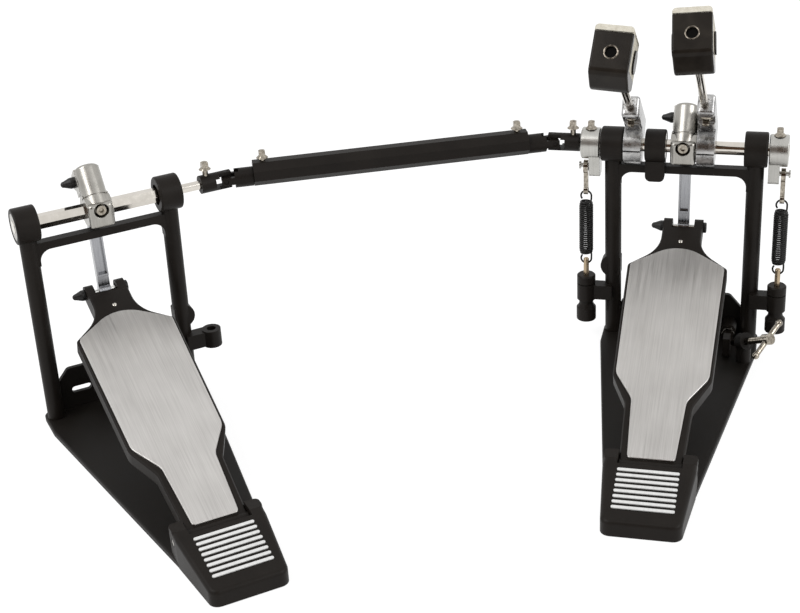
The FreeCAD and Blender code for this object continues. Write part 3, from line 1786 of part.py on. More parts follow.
def spring_path():
    """Lower hook, coil and upper hook as one run of arcs round the Z axis."""
    turns = spring_turns
    loop = d.spring_loop_radius.value
    opening = math.radians(d.spring_loop_open.value)
    low_mid = FreeCAD.Vector(0, 0, spring_foot_z.value + loop)
    high_mid = FreeCAD.Vector(0, 0, spring_head_z.value - loop)
    up = FreeCAD.Vector(0, 0, 1)
    side = FreeCAD.Vector(loop, 0, 0)
    lead = 0.12
    quarters = [lead + (turns - 2 * lead) * i / round(4 * turns) for i in range(round(4 * turns) + 1)]
    coil = [coil_point(turn) for turn in quarters]
    open_end = FreeCAD.Vector(-loop * math.cos(opening), 0, -loop * math.sin(opening))
    low_tip = low_mid + FreeCAD.Vector(open_end.x, 0, -open_end.z)
    arcs = [
        Part.Arc(low_tip, low_mid + FreeCAD.Vector(-loop, 0, 0), low_mid - up * loop).toShape(),
        Part.Arc(
            low_mid - up * loop,
            low_mid + (side - up * loop) * math.sqrt(0.5),
            low_mid + side,
        ).toShape(),
    ]
    arcs += biarc(low_mid + side, up, *coil[0])
    for (start, heading), (end, arriving) in zip(coil, coil[1:]):
        arcs += biarc(start, heading, end, arriving)
    arcs += biarc(*coil[-1], high_mid + side, up)
    arcs += [
        Part.Arc(
            high_mid + side,
            high_mid + (side + up * loop) * math.sqrt(0.5),
            high_mid + up * loop,
        ).toShape(),
        Part.Arc(
            high_mid + up * loop, high_mid + FreeCAD.Vector(-loop, 0, 0), high_mid + open_end
        ).toShape(),
    ]
    return arcs


def least_gap(arcs):
    """Least clear distance between stretches of the wire that aren't neighbours along it."""
    points = []
    along = 0.0
    for arc in arcs:
        for i in range(4):
            share = arc.FirstParameter + (arc.LastParameter - arc.FirstParameter) * i / 4
            points.append((along + arc.Length * i / 4, arc.valueAt(share)))
        along += arc.Length
    apart = d.spring_wire.value * 4
    near = min(
        (q - p).Length
        for i, (s, p) in enumerate(points)
        for (t, q) in points[i + 1 :]
        if t - s > apart and abs(q.z - p.z) < apart
    )
    return near - d.spring_wire.value


def spring(side):
    sign = 1 if side == "main" else -1
    arcs = spring_path()
    path = Part.Wire(arcs)
    start = arcs[0].valueAt(arcs[0].FirstParameter)
    heading = arcs[0].tangentAt(arcs[0].FirstParameter)
    section = Part.Wire(Part.makeCircle(d.spring_wire.value / 2, start, heading))
    tube = path.makePipeShell([section], True, False)
    if side == "main":
        print(f"spring: least gap {least_gap(arcs):.3f} mm, length {path.Length:.1f} mm")
        print(f"spring: volume {tube.Volume:.1f}, section times length "
              f"{math.pi * d.spring_wire.value ** 2 / 4 * path.Length:.1f}")
    wound = doc.addObject("Part::Feature", f"{side}_spring_wire")
    wound.Shape = tube
    wound.Placement = FreeCAD.Placement(
        FreeCAD.Vector(d.spring_x.value * sign, 0, 0), FreeCAD.Rotation()
    )
    return finish(f"{side}_spring", wound)


def tension_bolts():
    bolts = []
    hole_z = spring_foot_z + d.spring_wire / 2 + d.eye_loop_gap - d.eye_hole_dia / 2
    for side in (-1, 1):
        at = (d.spring_x * side, 0)
        stem = cylinder("eye_bolt_stem", "z", d.eye_bolt_dia, (d.eye_bolt_low, d.eye_bolt_high), at)
        stem = soften(
            "eye_bolt_eased", stem, d.shaft_bevel, lambda edge: round_rim(edge, "z"), "Part::Chamfer"
        )
        reach = (at[0] - d.eye_bolt_dia, at[0] + d.eye_bolt_dia)
        eye = cylinder("eye_bolt_eye", "x", d.eye_hole_dia, reach, (0, hole_z))
        bolts.append(cut("eye_bolt", stem, eye))
    return finish("tension_eye_bolts", group("eye_bolt_pair", *bolts))


def lock_nuts():
    nuts = []
    for side in (-1, 1):
        at = (d.spring_x * side, 0)
        z = (d.boss_high, d.lock_nut_high)
        body = cylinder("lock_nut_body", "z", d.lock_nut_dia, z, at)
        body = soften(
            "lock_nut_eased", body, d.base_bevel, lambda edge: round_rim(edge, "z"), "Part::Chamfer"
        )
        bore = cylinder(
            "lock_nut_bore",
            "z",
            d.eye_bolt_dia + d.press_gap * 2,
            (d.boss_high - 1, d.lock_nut_high + 1),
            at,
        )
        nuts.append(cut("lock_nut", body, bore))
    return finish("tension_lock_nuts", group("lock_nut_pair", *nuts))


def tension_knob(side):
    at = (d.spring_x * (1 if side == "main" else -1), 0)
    body = cylinder(f"{side}_knob_body", "z", d.knob_dia, (d.knob_low, d.knob_shoulder), at)
    body = soften(f"{side}_knob_eased", body, d.base_bevel, lambda edge: round_rim(edge, "z"))
    neck = cone(
        f"{side}_knob_neck",
        "z",
        (d.knob_dia - d.base_bevel * 2, d.knob_neck_dia),
        (d.knob_shoulder, d.knob_neck),
        at,
    )
    collar = cylinder(
        f"{side}_knob_collar",
        "z",
        d.knob_neck_dia,
        (d.knob_neck, d.boss_low - d.seat_gap),
        at,
    )
    bore = cylinder(
        f"{side}_knob_bore",
        "z",
        d.eye_bolt_dia + d.running_gap * 2,
        (d.eye_bolt_low - d.seat_gap, d.boss_low),
        at,
    )
    knob = cut(f"{side}_knob", fuse(f"{side}_knob_solid", body, neck, collar), bore)
    return finish(f"{side}_tension_knob", knob)


# Link shaft


def fork(name, inner, root, shaft_dia, axis_at, arms, frame=None):
    """Round yoke along +X whose two arms end round a cross pin at the origin of its own X.

    inner is where the yoke starts, root where its slot starts; arms is the axis of its cross pin.
    """
    past = d.yoke_arm_end * 2
    body = cylinder(f"{name}_body", "x", shaft_dia, (inner, d.yoke_arm_end), axis_at, frame)
    half = d.yoke_slot / 2
    wide = shaft_dia
    arm = d.yoke_arm_half
    first, second = axis_at
    across = (first - wide, first + wide)
    upright = (second - wide, second + wide)
    if arms == "z":
        slot = box(f"{name}_slot", (root, past), across, (second - half, second + half), frame)
        cheeks = [
            box(f"{name}_cheek", (-d.yoke_arm_root, past), outside, upright, frame)
            for outside in ((first - wide, first - arm), (first + arm, first + wide))
        ]
        hole = cylinder(
            f"{name}_pin_way",
            "z",
            d.cross_pin_dia + d.yoke_clearance * 2,
            upright,
            (0, first),
            frame,
        )
    else:
        slot = box(f"{name}_slot", (root, past), (first - half, first + half), upright, frame)
        cheeks = [
            box(f"{name}_cheek", (-d.yoke_arm_root, past), across, outside, frame)
            for outside in ((second - wide, second - arm), (second + arm, second + wide))
        ]
        hole = cylinder(
            f"{name}_pin_way",
            "y",
            d.cross_pin_dia + d.running_gap * 2,
            across,
            (0, second),
            frame,
        )
    return body, [slot, *cheeks, hole]


def yoke(side, pedal, node):
    """Fork on a shaft's stub; made pointing to +X about its cross pin, then set on its pedal."""
    make_frame(
        f"{side.capitalize()}YokePlace",
        (d.joint_x if side == "left" else -d.joint_x, 0, d.shaft_height),
        "z",
        0 if side == "left" else 180,
        pedal,
    )
    start = d.yoke_start - d.joint_x
    body, ways = fork(
        f"{side}_yoke", start, -d.yoke_slot_depth, d.yoke_dia, (0, 0), "z"
    )
    bore = cylinder(
        f"{side}_yoke_bore",
        "x",
        d.stub_dia + d.press_gap * 2,
        (start - 1, start + d.stub_len + d.press_gap),
    )
    seat = make_frame(
        f"{side.capitalize()}YokeSeatLocal", (start + d.stub_len / 2, 0, d.yoke_dia / 2)
    )
    hole = screw_hole(f"{side}_yoke_screw_way", seat, (d.yoke_dia - d.stub_dia) / 2)
    return finish(node, cut(f"{side}_yoke_solid", body, *ways, bore, hole), f"{side.capitalize()}YokePlace")


def drive_rod(side):
    """Fork at one end of the tube with the round rod that runs inside it."""
    make_frame(
        f"{side.capitalize()}RodPlace",
        (0 if side == "left" else shaft_span, 0, 0),
        "z",
        180 if side == "left" else 0,
        "LinkShaft",
    )
    inside = d.left_rod_in if side == "left" else d.right_rod_in
    body, ways = fork(
        f"{side}_fork",
        -d.tube_start + d.seat_gap,
        -d.yoke_slot_depth,
        d.fork_dia,
        (0, 0),
        "y",
    )
    gap = d.running_gap if side == "left" else d.press_gap
    rod = cylinder(
        f"{side}_rod_inside",
        "x",
        d.tube_bore - gap * 2,
        (-d.tube_start - inside, -d.tube_start + d.seat_gap + 1),
    )
    return finish(
        f"{side}_drive_rod",
        fuse(f"{side}_drive_rod_solid", cut(f"{side}_fork_solid", body, *ways), rod),
        f"{side.capitalize()}RodPlace",
    )


def cross(side):
    frame = f"{side.capitalize()}RodPlace"
    half = d.cross_size / 2
    block = box(f"{side}_cross_block", (-half, half), (-half, half), (-half, half))
    reach = (-d.cross_pin_reach, d.cross_pin_reach)
    pins = [cylinder(f"{side}_cross_pin", axis, d.cross_pin_dia, reach) for axis in "yz"]
    return finish(f"{side}_cross", fuse(f"{side}_cross_solid", block, *pins), frame)


tube_roof = d.tube_flats / 2 + d.tube_rise - d.tube_bore / 2


def tube_seats():
    top = d.tube_flats / 2 + d.tube_rise
    near = d.tube_start + d.tube_screw_inset
    far = shaft_span - near
    return [
        make_frame(f"TubeSeat{end}", (along, 0, top), parent="LinkShaft")
        for end, along in (("Left", near), ("Right", far))
    ]


def drive_tube(seats):
    ends = (d.tube_start, shaft_span - d.tube_start)
    bar = prism("tube_bar", "x", 8, d.tube_flats, ends, (0, d.tube_rise), "LinkShaft")
    bore = cylinder(
        "tube_hollow", "x", d.tube_bore, (ends[0] - 1, ends[1] + 1), frame="LinkShaft"
    )
    holes = [screw_hole(f"tube_screw_way_{seat}", seat, tube_roof) for seat in seats]
    return finish("drive_tube", cut("tube_shell", bar, bore, *holes))


# Screw groups, one for each body they ride on


def screw_groups(tube_places):
    wall = (d.rocker_dia - d.shaft_dia) / 2 - d.press_gap
    holder_seat = d.holder_boss_high / 2 - d.holder_notch_deep
    holder_depth = holder_seat - d.rod_dia / 2 - d.seat_gap
    yoke_depth = (d.yoke_dia - d.stub_dia) / 2 - d.press_gap
    cam_depth = -d.cam_front - d.cam_screw_sink - d.shaft_dia / 2 - d.press_gap
    hex_depth = -d.cam_front - d.cam_screw_sink - d.hex_flats / 2 / cos(Size(30.0, "30")) - d.press_gap
    seats = {
        side: make_frame(
            f"{side}HolderSeat",
            (0, -holder_seat, d.holder_screw_at),
            "x",
            90,
            f"{side}Beater",
        )
        for side in ("Main", "Left")
    }
    yoke_at = (d.yoke_start - d.joint_x + d.stub_len / 2, 0, d.yoke_dia / 2)
    yoke_seats = {
        side: make_frame(f"{side}YokeSeat", yoke_at, parent=f"{side}YokePlace")
        for side in ("Left", "Right")
    }
    left_cap = cap_screw("left_cam_screw", hex_depth)
    left_cap_set = group("left_cam_screw_set", left_cap)
    left_cap_set.setExpression("Placement", "LeftPedal.Placement")
    sets = {
        "main_shaft_screws": [
            cap_screw("main_cam_screw", cam_depth),
            key_screw("main_holder_screw", seats["Main"], holder_depth, d.press_gap),
            key_screw("main_rocker_screw", "MainRockerSeat", wall, d.press_gap),
        ],
        "beater_shaft_screws": [
            key_screw("left_holder_screw", seats["Left"], holder_depth, d.press_gap),
            key_screw("left_rocker_screw", "LeftRockerSeat", wall, d.press_gap),
            key_screw("right_yoke_screw", yoke_seats["Right"], yoke_depth, d.yoke_screw_neck),
        ],
        "left_shaft_screws": [
            left_cap_set,
            key_screw("left_yoke_screw", yoke_seats["Left"], yoke_depth, d.yoke_screw_neck),
        ],
        "drive_tube_screws": [
            key_screw(
                f"tube_screw_{seat}",
                seat,
                tube_roof - d.press_gap,
                d.key_neck,
            )
            for seat in tube_places
        ],
    }
    for node, screws in sets.items():
        finish(node, group(f"{node}_set", *screws))


# The assembly

base_plate("main")
base_plate("left")
frame_casting("main", (-1, 1), -1, d.eye_bolt_dia + d.seat_gap * 2)
frame_casting("left", (1,), 1, d.spare_bore)
bearings("main", d.shaft_dia + d.running_gap * 2)
bearings("left", d.journal_dia + d.running_gap * 2)
bearing_hanger()
part_line = d.hanger_x
shaft("main_shaft", (part_line + d.shaft_part_gap / 2, d.shaft_end_x))
shaft(
    "beater_shaft",
    (-d.yoke_start + d.seat_gap, part_line - d.shaft_part_gap / 2),
    -d.yoke_start - d.stub_len,
)
hex_shaft()
for pedal in PEDALS:
    drive_cam(pedal)
    link(pedal)
    link_pins(pedal)
    footboard(pedal)
    foot_plate(pedal)
    heel_plate(pedal)
    heel_strips(pedal)
    heel_pin(pedal)
    hoop_plate(pedal)
clamp_lever()
clamp_bolt()
clamp_screw()
for side in ("main", "left"):
    beater_holder(side)
    beater_rod(side)
    beater_head(side)
    beater_felt(side)
    rocker(side)
    spring_clip(side)
    spring(side)
    tension_knob(side)
tension_bolts()
lock_nuts()
yoke("left", "LeftPedal", "left_yoke")
yoke("right", "MainPedal", "right_yoke")
for side in ("left", "right"):
    drive_rod(side)
    cross(side)
tube_places = tube_seats()
drive_tube(tube_places)
screw_groups(tube_places)
doc.recompute()

# Every object has to be sound before anything is written

failed = [o.Label for o in doc.Objects if "Invalid" in o.State or "Error" in o.State]
if failed:
    raise RuntimeError(f"these objects failed: {failed}")
for node, solid in nodes.items():
    if solid.Shape.isNull() or not solid.Shape.isValid() or not solid.Shape.Solids:
        raise RuntimeError(f"{node} has no sound shape")

os.makedirs("parts", exist_ok=True)
for node, solid in nodes.items():
    solid.Shape.exportStep(f"parts/{node}.step")
print(f"{len(nodes)} nodes written")
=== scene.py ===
"""Looks of a double bass drum pedal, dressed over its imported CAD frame.

Lengths are metres in the part's own frame: +X runs along the main shaft to the player's right, +Y
toward the drum and +Z up. The origin is on the floor under the middle of the main shaft. Sizes of the
pedal's pieces are written in millimetres, as they are on a drawing, and pass through MM.
"""

import json
import logging
import math
from dataclasses import dataclass, replace
from enum import Enum
from typing import Any, ClassVar

import bpy
import numpy as np
from mathutils import Matrix, Vector


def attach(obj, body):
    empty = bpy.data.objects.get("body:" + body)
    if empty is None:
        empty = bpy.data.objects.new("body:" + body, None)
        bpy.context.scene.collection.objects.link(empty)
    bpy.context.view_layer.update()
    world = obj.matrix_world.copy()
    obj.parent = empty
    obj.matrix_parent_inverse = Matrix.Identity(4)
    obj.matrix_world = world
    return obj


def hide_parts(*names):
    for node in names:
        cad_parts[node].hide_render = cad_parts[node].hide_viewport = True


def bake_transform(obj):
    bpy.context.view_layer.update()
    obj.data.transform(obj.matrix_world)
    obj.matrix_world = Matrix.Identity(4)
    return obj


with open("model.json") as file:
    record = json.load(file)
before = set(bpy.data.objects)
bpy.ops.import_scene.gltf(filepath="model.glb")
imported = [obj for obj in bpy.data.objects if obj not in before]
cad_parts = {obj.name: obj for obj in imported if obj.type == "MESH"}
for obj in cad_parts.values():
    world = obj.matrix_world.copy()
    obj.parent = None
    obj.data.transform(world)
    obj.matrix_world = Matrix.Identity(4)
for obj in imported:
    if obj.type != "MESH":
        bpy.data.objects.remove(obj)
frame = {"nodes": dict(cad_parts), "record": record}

MM = 0.001
LOG = logging.getLogger("double_pedal")

Colour = tuple[float, float, float]
Triple = tuple[float, float, float]
Sockets = tuple[Any, Any, Any]
TEXTURE_SPAN = (0.3, 0.7)


def turned(axis: str, degrees: float) -> Matrix:
    """A turn about one axis, as a 4 by 4 matrix."""
    return Matrix.Rotation(math.radians(degrees), 4, axis)


def moved(x: float, y: float, z: float) -> Matrix:
    """A shift in millimetres, as a 4 by 4 matrix in metres."""
    return Matrix.Translation((x * MM, y * MM, z * MM))


def placed(points: np.ndarray, place: Matrix) -> np.ndarray:
    """Carries points in millimetres into the part's frame.

    Args:
        points: Array whose last axis holds x, y and z in the piece's own frame.
        place: Where that frame stands, in metres.

    Returns:
        The points in metres, p' = R p + t.
    """
    whole = np.array(place)
    return points * MM @ whole[:3, :3].T + whole[:3, 3]


class Cap(Enum):
    """How the end rings of a skin are closed."""

    FAN = "triangles to a pole"
    FACE = "one flat face"
    LOOP = "the last ring joined to the first"


@dataclass
class Skin:
    """A closed surface given as a grid: rows of points carried along a path, each row a closed ring.

    Attributes:
        rows: Array of rows x columns x 3 in metres.
        cap: How the first and last rings are closed.
    """

    rows: np.ndarray
    cap: Cap = Cap.FAN

    def vertices(self) -> np.ndarray:
        """The grid's points, then the middle of the first and of the last ring as poles.

        Returns:
            Array of points x 3, the poles only where the ends are fans.
        """
        points = self.rows.reshape(-1, 3)
        if self.cap is not Cap.FAN:
            return points
        ends = np.stack([self.rows[0].mean(0), self.rows[-1].mean(0)])
        return np.concatenate([points, ends])

    def faces(self) -> list[list[int]]:
        """Quads between neighbouring rows, then what closes the first and the last ring.

        Returns:
            Each face's corners, as numbers of the vertices.
        """
        count, around = self.rows.shape[:2]
        index = np.arange(count * around).reshape(count, around)
        if self.cap is Cap.LOOP:
            index = np.concatenate([index, index[:1]])
        after = np.roll(index, -1, axis=1)
        quads = np.stack([index[:-1], after[:-1], after[1:], index[1:]], axis=-1).reshape(-1, 4)
        if self.cap is Cap.LOOP:
            return quads.tolist()
        if self.cap is Cap.FACE:
            return quads.tolist() + [index[0, ::-1].tolist(), index[-1].tolist()]
        pole = np.full(around, count * around)
        start = np.stack([pole, after[0], index[0]], axis=-1)
        end = np.stack([pole + 1, index[-1], after[-1]], axis=-1)
        return quads.tolist() + start.tolist() + end.tolist()


def add_piece(name: str, skins: list[Skin], crease: float = 45.0) -> bpy.types.Object:
    """Makes one mesh object of several closed skins, shaded smooth up to a crease.

    Args:
        name: The piece's name.
        skins: Its surfaces, already in the part's frame.
        crease: Angle in degrees past which an edge stays sharp.

    Returns:
        The object, at the origin, linked to the scene.
    """
    vertices: list[np.ndarray] = []
    faces: list[list[int]] = []
    used = 0
    for skin in skins:
        points = skin.vertices()
        faces += [[used + corner for corner in face] for face in skin.faces()]
        vertices.append(points)
        used += len(points)
    mesh = bpy.data.meshes.new(name)
    mesh.from_pydata(np.concatenate(vertices).tolist(), [], faces)
    mesh.polygons.foreach_set("use_smooth", np.full(len(faces), True))
    mesh.update()
    mesh.set_sharp_from_angle(angle=math.radians(crease))
    made = bpy.data.objects.new(name, mesh)
    bpy.context.scene.collection.objects.link(made)
    return made


def unit(vectors: np.ndarray) -> np.ndarray:
    """Each vector divided by its own length."""
    return vectors / np.linalg.norm(vectors, axis=-1, keepdims=True)


def tube(path: np.ndarray, radius: float, reference: np.ndarray, sides: int) -> np.ndarray:
    """Rings of a round wire: p(s, a) = c(s) + r (cos a u(s) + sin a w(s)).

    u is square to the path's heading and to a reference direction, and w completes the frame.

    Args:
        path: Middle line, points x 3.
        radius: The wire's radius.
        reference: A direction per point that never lies along the path.
        sides: Points round each ring.

    Returns:
        Array of points x sides x 3.
    """
    heading = unit(np.gradient(path, axis=0))
    across = unit(np.cross(reference, heading))
    above = np.cross(heading, across)
    angle = np.linspace(0, 2 * np.pi, sides, endpoint=False)[None, :, None]
    ring = np.cos(angle) * across[:, None] + np.sin(angle) * above[:, None]
    return path[:, None] + radius * ring


def revolved(profile: np.ndarray, sides: int) -> np.ndarray:
    """Turns a profile about Z: p = (r cos a, r sin a, h).

    Args:
        profile: Pairs of radius and height.
        sides: Points round each ring.

    Returns:
        Array of pairs x sides x 3.
    """
    angle = np.linspace(0, 2 * np.pi, sides, endpoint=False)
    radius = profile[:, :1]
    height = np.broadcast_to(profile[:, 1:], (len(profile), sides))
    return np.stack([radius * np.cos(angle), radius * np.sin(angle), height], axis=-1)


def rounded_outline(corners: list[Triple], steps: int = 6) -> np.ndarray:
    """A closed outline whose corners are arcs.

    Each corner's circle touches both sides at r / tan(half the corner's angle) from it, and the arc
    runs between the touching points on that circle.

    Args:
        corners: Corner points with their radii, anticlockwise.
        steps: Points on each arc.

    Returns:
        Array of points x 2.
    """
    spots = np.array(corners)[:, :2]
    radius = np.array(corners)[:, 2:]
    back = unit(np.roll(spots, 1, axis=0) - spots)
    ahead = unit(np.roll(spots, -1, axis=0) - spots)
    half = np.arccos(np.sum(back * ahead, axis=1, keepdims=True)) / 2
    middle = spots + unit(back + ahead) * radius / np.sin(half)
    first = spots + back * radius / np.tan(half) - middle
    last = spots + ahead * radius / np.tan(half) - middle
    sweep = (np.pi - 2 * half)[:, None]
    share = np.linspace(0, 1, steps)[None, :, None]
    arc = np.sin((1 - share) * sweep) * first[:, None] + np.sin(share * sweep) * last[:, None]
    return (middle[:, None] + arc / np.sin(sweep)).reshape(-1, 2)


def upright(outline: np.ndarray, low: float, high: float, rim: float) -> np.ndarray:
    """Carries an outline up along Z and draws both rims in along a quarter circle.

    A ring at the angle a of a rim is moved inwards by rim (1 - sin a) and off the end by
    rim (1 - cos a), a measured from the end face.

    Args:
        outline: Anticlockwise points x 2.
        low: Height of the bottom.
        high: Height of the top.
        rim: Radius of the rims.

    Returns:
        Array of rings x points x 3.
    """
    along = unit(np.roll(outline, -1, axis=0) - np.roll(outline, 1, axis=0))
    inwards = np.stack([-along[:, 1], along[:, 0]], axis=-1)
    angle = np.linspace(0, np.pi / 2, 6)
    drawn = rim * (1 - np.sin(angle))
    raised = rim * (1 - np.cos(angle))
    inset = np.concatenate([drawn, drawn[::-1]])
    height = np.concatenate([low + raised, high - raised[::-1]])
    flat = outline[None] + inwards[None] * inset[:, None, None]
    tall = np.broadcast_to(height[:, None, None], (len(height), len(outline), 1))
    return np.concatenate([flat, tall], axis=-1)


class Wiring:
    """Adds nodes to one node tree and links them."""

    def __init__(self, tree: bpy.types.NodeTree) -> None:
        """Keeps the tree that the nodes go into."""
        self.tree = tree

    def add(self, kind: str, inputs: dict[Any, Any] | None = None, **settings: Any) -> bpy.types.Node:
        """Adds one node.

        Args:
            kind: Blender's name of the node type.
            inputs: Socket name or number to a value, or to another node's output to link from.
            **settings: The node's own settings.

        Returns:
            The node.
        """
        made = self.tree.nodes.new(kind)
        for key, value in settings.items():
            setattr(made, key, value)
        for key, value in (inputs or {}).items():
            if isinstance(value, bpy.types.NodeSocket):
                self.tree.links.new(value, made.inputs[key])
            else:
                made.inputs[key].default_value = value
        return made

    def noise(self, vector: Any, scale: Any, detail: float = 2.0, distortion: float = 0.0) -> Any:
        """Value of a noise texture on a vector."""
        inputs = {"Vector": vector, "Scale": scale, "Detail": detail, "Distortion": distortion}
        return self.add("ShaderNodeTexNoise", inputs).outputs[0]

    def maths(self, operation: str, first: Any, second: Any = 0.0) -> Any:
        """Result of a sum on one or two values."""
        return self.add("ShaderNodeMath", {0: first, 1: second}, operation=operation).outputs[0]

    def blended(self, share: Any, first: Any, second: Any) -> Any:
        """Value that runs from the first to the second as the share goes from 0 to 1."""
        return self.add("ShaderNodeMix", {0: share, 2: first, 3: second}, data_type="FLOAT").outputs[0]

    def tinted(self, share: Any, first: Colour, second: Colour) -> Any:
        """Colour that runs from the first to the second as the share goes from 0 to 1."""
        mix = self.add("ShaderNodeMix", {0: share, 6: (*first, 1), 7: (*second, 1)}, data_type="RGBA")
        return mix.outputs[2]

    def spread(self, value: Any, start: float, end: float, low: float, high: float) -> Any:
        """Value carried from one range into another and held there."""
        settings = {"Value": value, "From Min": start, "From Max": end, "To Min": low, "To Max": high}
        return self.add("ShaderNodeMapRange", settings).outputs[0]

    def stretched(self, vector: Any, factors: Triple) -> Any:
        """Vector with each axis multiplied by its own factor."""
        return self.add("ShaderNodeVectorMath", {0: vector, 1: factors}, operation="MULTIPLY").outputs[0]


class Pattern(Enum):
    """The surface textures that the finishes are made with."""

    COATED = "powder_coat"
    BRUSHED = "brushed_lines"
    TURNED = "turning_marks"
    CAST = "cast_skin"
    PLATED = "plated_haze"
    MOULDED = "moulded_skin"
    FELTED = "felt_fibres"


class PatternBook:
    """Shader node groups, one per texture, each built once.

    Every group takes a Vector and a Scale in features per metre, and puts out a Tone that moves the
    colour, a Gloss that moves the roughness and a Height for the bump.
    """

    def __init__(self) -> None:
        """Starts with no groups."""
        self.groups: dict[Pattern, bpy.types.NodeTree] = {}

    def group(self, pattern: Pattern) -> bpy.types.NodeTree:
        """The texture's node group, built when it is first asked for.

        Args:
            pattern: Which texture.

        Returns:
            The group.
        """
        if pattern not in self.groups:
            self.groups[pattern] = self._build(pattern)
        return self.groups[pattern]

    def _build(self, pattern: Pattern) -> bpy.types.NodeTree:
        """Makes a group's sockets and wires its texture between them.

        Args:
            pattern: Which texture.

        Returns:
            The finished group.
        """
        tree = bpy.data.node_groups.new(pattern.value, "ShaderNodeTree")
        tree.interface.new_socket("Vector", in_out="INPUT", socket_type="NodeSocketVector")
        tree.interface.new_socket("Scale", in_out="INPUT", socket_type="NodeSocketFloat")
        for name in ("Tone", "Gloss", "Height"):
            tree.interface.new_socket(name, in_out="OUTPUT", socket_type="NodeSocketFloat")
        wiring = Wiring(tree)
        given = wiring.add("NodeGroupInput")
        makers = {
            Pattern.COATED: self._coated,
            Pattern.BRUSHED: self._brushed,
            Pattern.TURNED: self._turned,
            Pattern.CAST: self._cast,
            Pattern.PLATED: self._plated,
            Pattern.MOULDED: self._moulded,
            Pattern.FELTED: self._felted,
        }
        tone, gloss, height = makers[pattern](wiring, given.outputs["Vector"], given.outputs["Scale"])
        wiring.add("NodeGroupOutput", {"Tone": tone, "Gloss": gloss, "Height": height})
        return tree

    def _coated(self, wiring: Wiring, vector: Any, scale: Any) -> Sockets:
        """Fine orange peel over slow patches of a baked coat.

        Args:
            wiring: The group's wiring.
            vector: Its coordinates.
            scale: Its features per metre.

        Returns:
            Tone, gloss and height.
        """
        peel = wiring.noise(vector, scale, 2.0)
        patch = wiring.noise(vector, wiring.maths("MULTIPLY", scale, 0.02), 3.0)
        return patch, wiring.blended(0.4, patch, peel), peel

    def _brushed(self, wiring: Wiring, vector: Any, scale: Any) -> Sockets:
        """Hairlines and wider streaks, both drawn out along Y.

        Args:
            wiring: The group's wiring.
            vector: Its coordinates.
            scale: Its features per metre.

        Returns:
            Tone, gloss and height.
        """
        drawn = wiring.stretched(vector, (1.0, 0.015, 1.0))
        hair = wiring.noise(drawn, scale, 4.0)
        streak = wiring.noise(drawn, wiring.maths("MULTIPLY", scale, 0.4), 3.0)
        cloud = wiring.noise(vector, wiring.maths("MULTIPLY", scale, 0.012), 2.0)
        tone = wiring.blended(0.25, wiring.blended(0.6, hair, streak), cloud)
        return tone, streak, hair

    def _turned(self, wiring: Wiring, vector: Any, scale: Any) -> Sockets:
        """Fine rings left by turning about X, with slow changes of shade.

        Args:
            wiring: The group's wiring.
            vector: Its coordinates.
            scale: Its features per metre.

        Returns:
            Tone, gloss and height.
        """
        drawn = wiring.stretched(vector, (1.0, 0.03, 0.03))
        ring = wiring.noise(drawn, scale, 3.0)
        shade = wiring.noise(vector, wiring.maths("MULTIPLY", scale, 0.05), 2.0)
        return wiring.blended(0.5, ring, shade), shade, ring

    def _cast(self, wiring: Wiring, vector: Any, scale: Any) -> Sockets:
        """Cloudy patches of a polished casting with small dents.

        Args:
            wiring: The group's wiring.
            vector: Its coordinates.
            scale: Its features per metre.

        Returns:
            Tone, gloss and height.
        """
        cloud = wiring.noise(vector, wiring.maths("MULTIPLY", scale, 0.2), 4.0, 0.8)
        dent = wiring.noise(vector, scale, 2.0)
        return cloud, wiring.blended(0.3, cloud, dent), wiring.blended(0.25, cloud, dent)

    def _plated(self, wiring: Wiring, vector: Any, scale: Any) -> Sockets:
        """Faint haze and handling marks on bright plating.

        Args:
            wiring: The group's wiring.
            vector: Its coordinates.
            scale: Its features per metre.

        Returns:
            Tone, gloss and height.
        """
        haze = wiring.noise(vector, scale, 3.0, 0.4)
        wave = wiring.noise(vector, wiring.maths("MULTIPLY", scale, 0.3), 1.0)
        return haze, haze, wave

    def _moulded(self, wiring: Wiring, vector: Any, scale: Any) -> Sockets:
        """Slight flow marks and a fine grain of moulded plastic.

        Args:
            wiring: The group's wiring.
            vector: Its coordinates.
            scale: Its features per metre.

        Returns:
            Tone, gloss and height.
        """
        grain = wiring.noise(vector, scale, 2.0)
        flow = wiring.noise(vector, wiring.maths("MULTIPLY", scale, 0.04), 2.0, 0.6)
        return flow, wiring.blended(0.4, flow, grain), wiring.blended(0.7, flow, grain)

    def _felted(self, wiring: Wiring, vector: Any, scale: Any) -> Sockets:
        """Tangled fibres over soft clumps of pressed wool.

        Args:
            wiring: The group's wiring.
            vector: Its coordinates.
            scale: Its features per metre.

        Returns:
            Tone, gloss and height.
        """
        fibre = wiring.noise(vector, scale, 5.0, 2.5)
        clump = wiring.noise(vector, wiring.maths("MULTIPLY", scale, 0.2), 3.0, 0.5)
        tone = wiring.blended(0.55, fibre, clump)
        return tone, fibre, wiring.blended(0.35, fibre, clump)


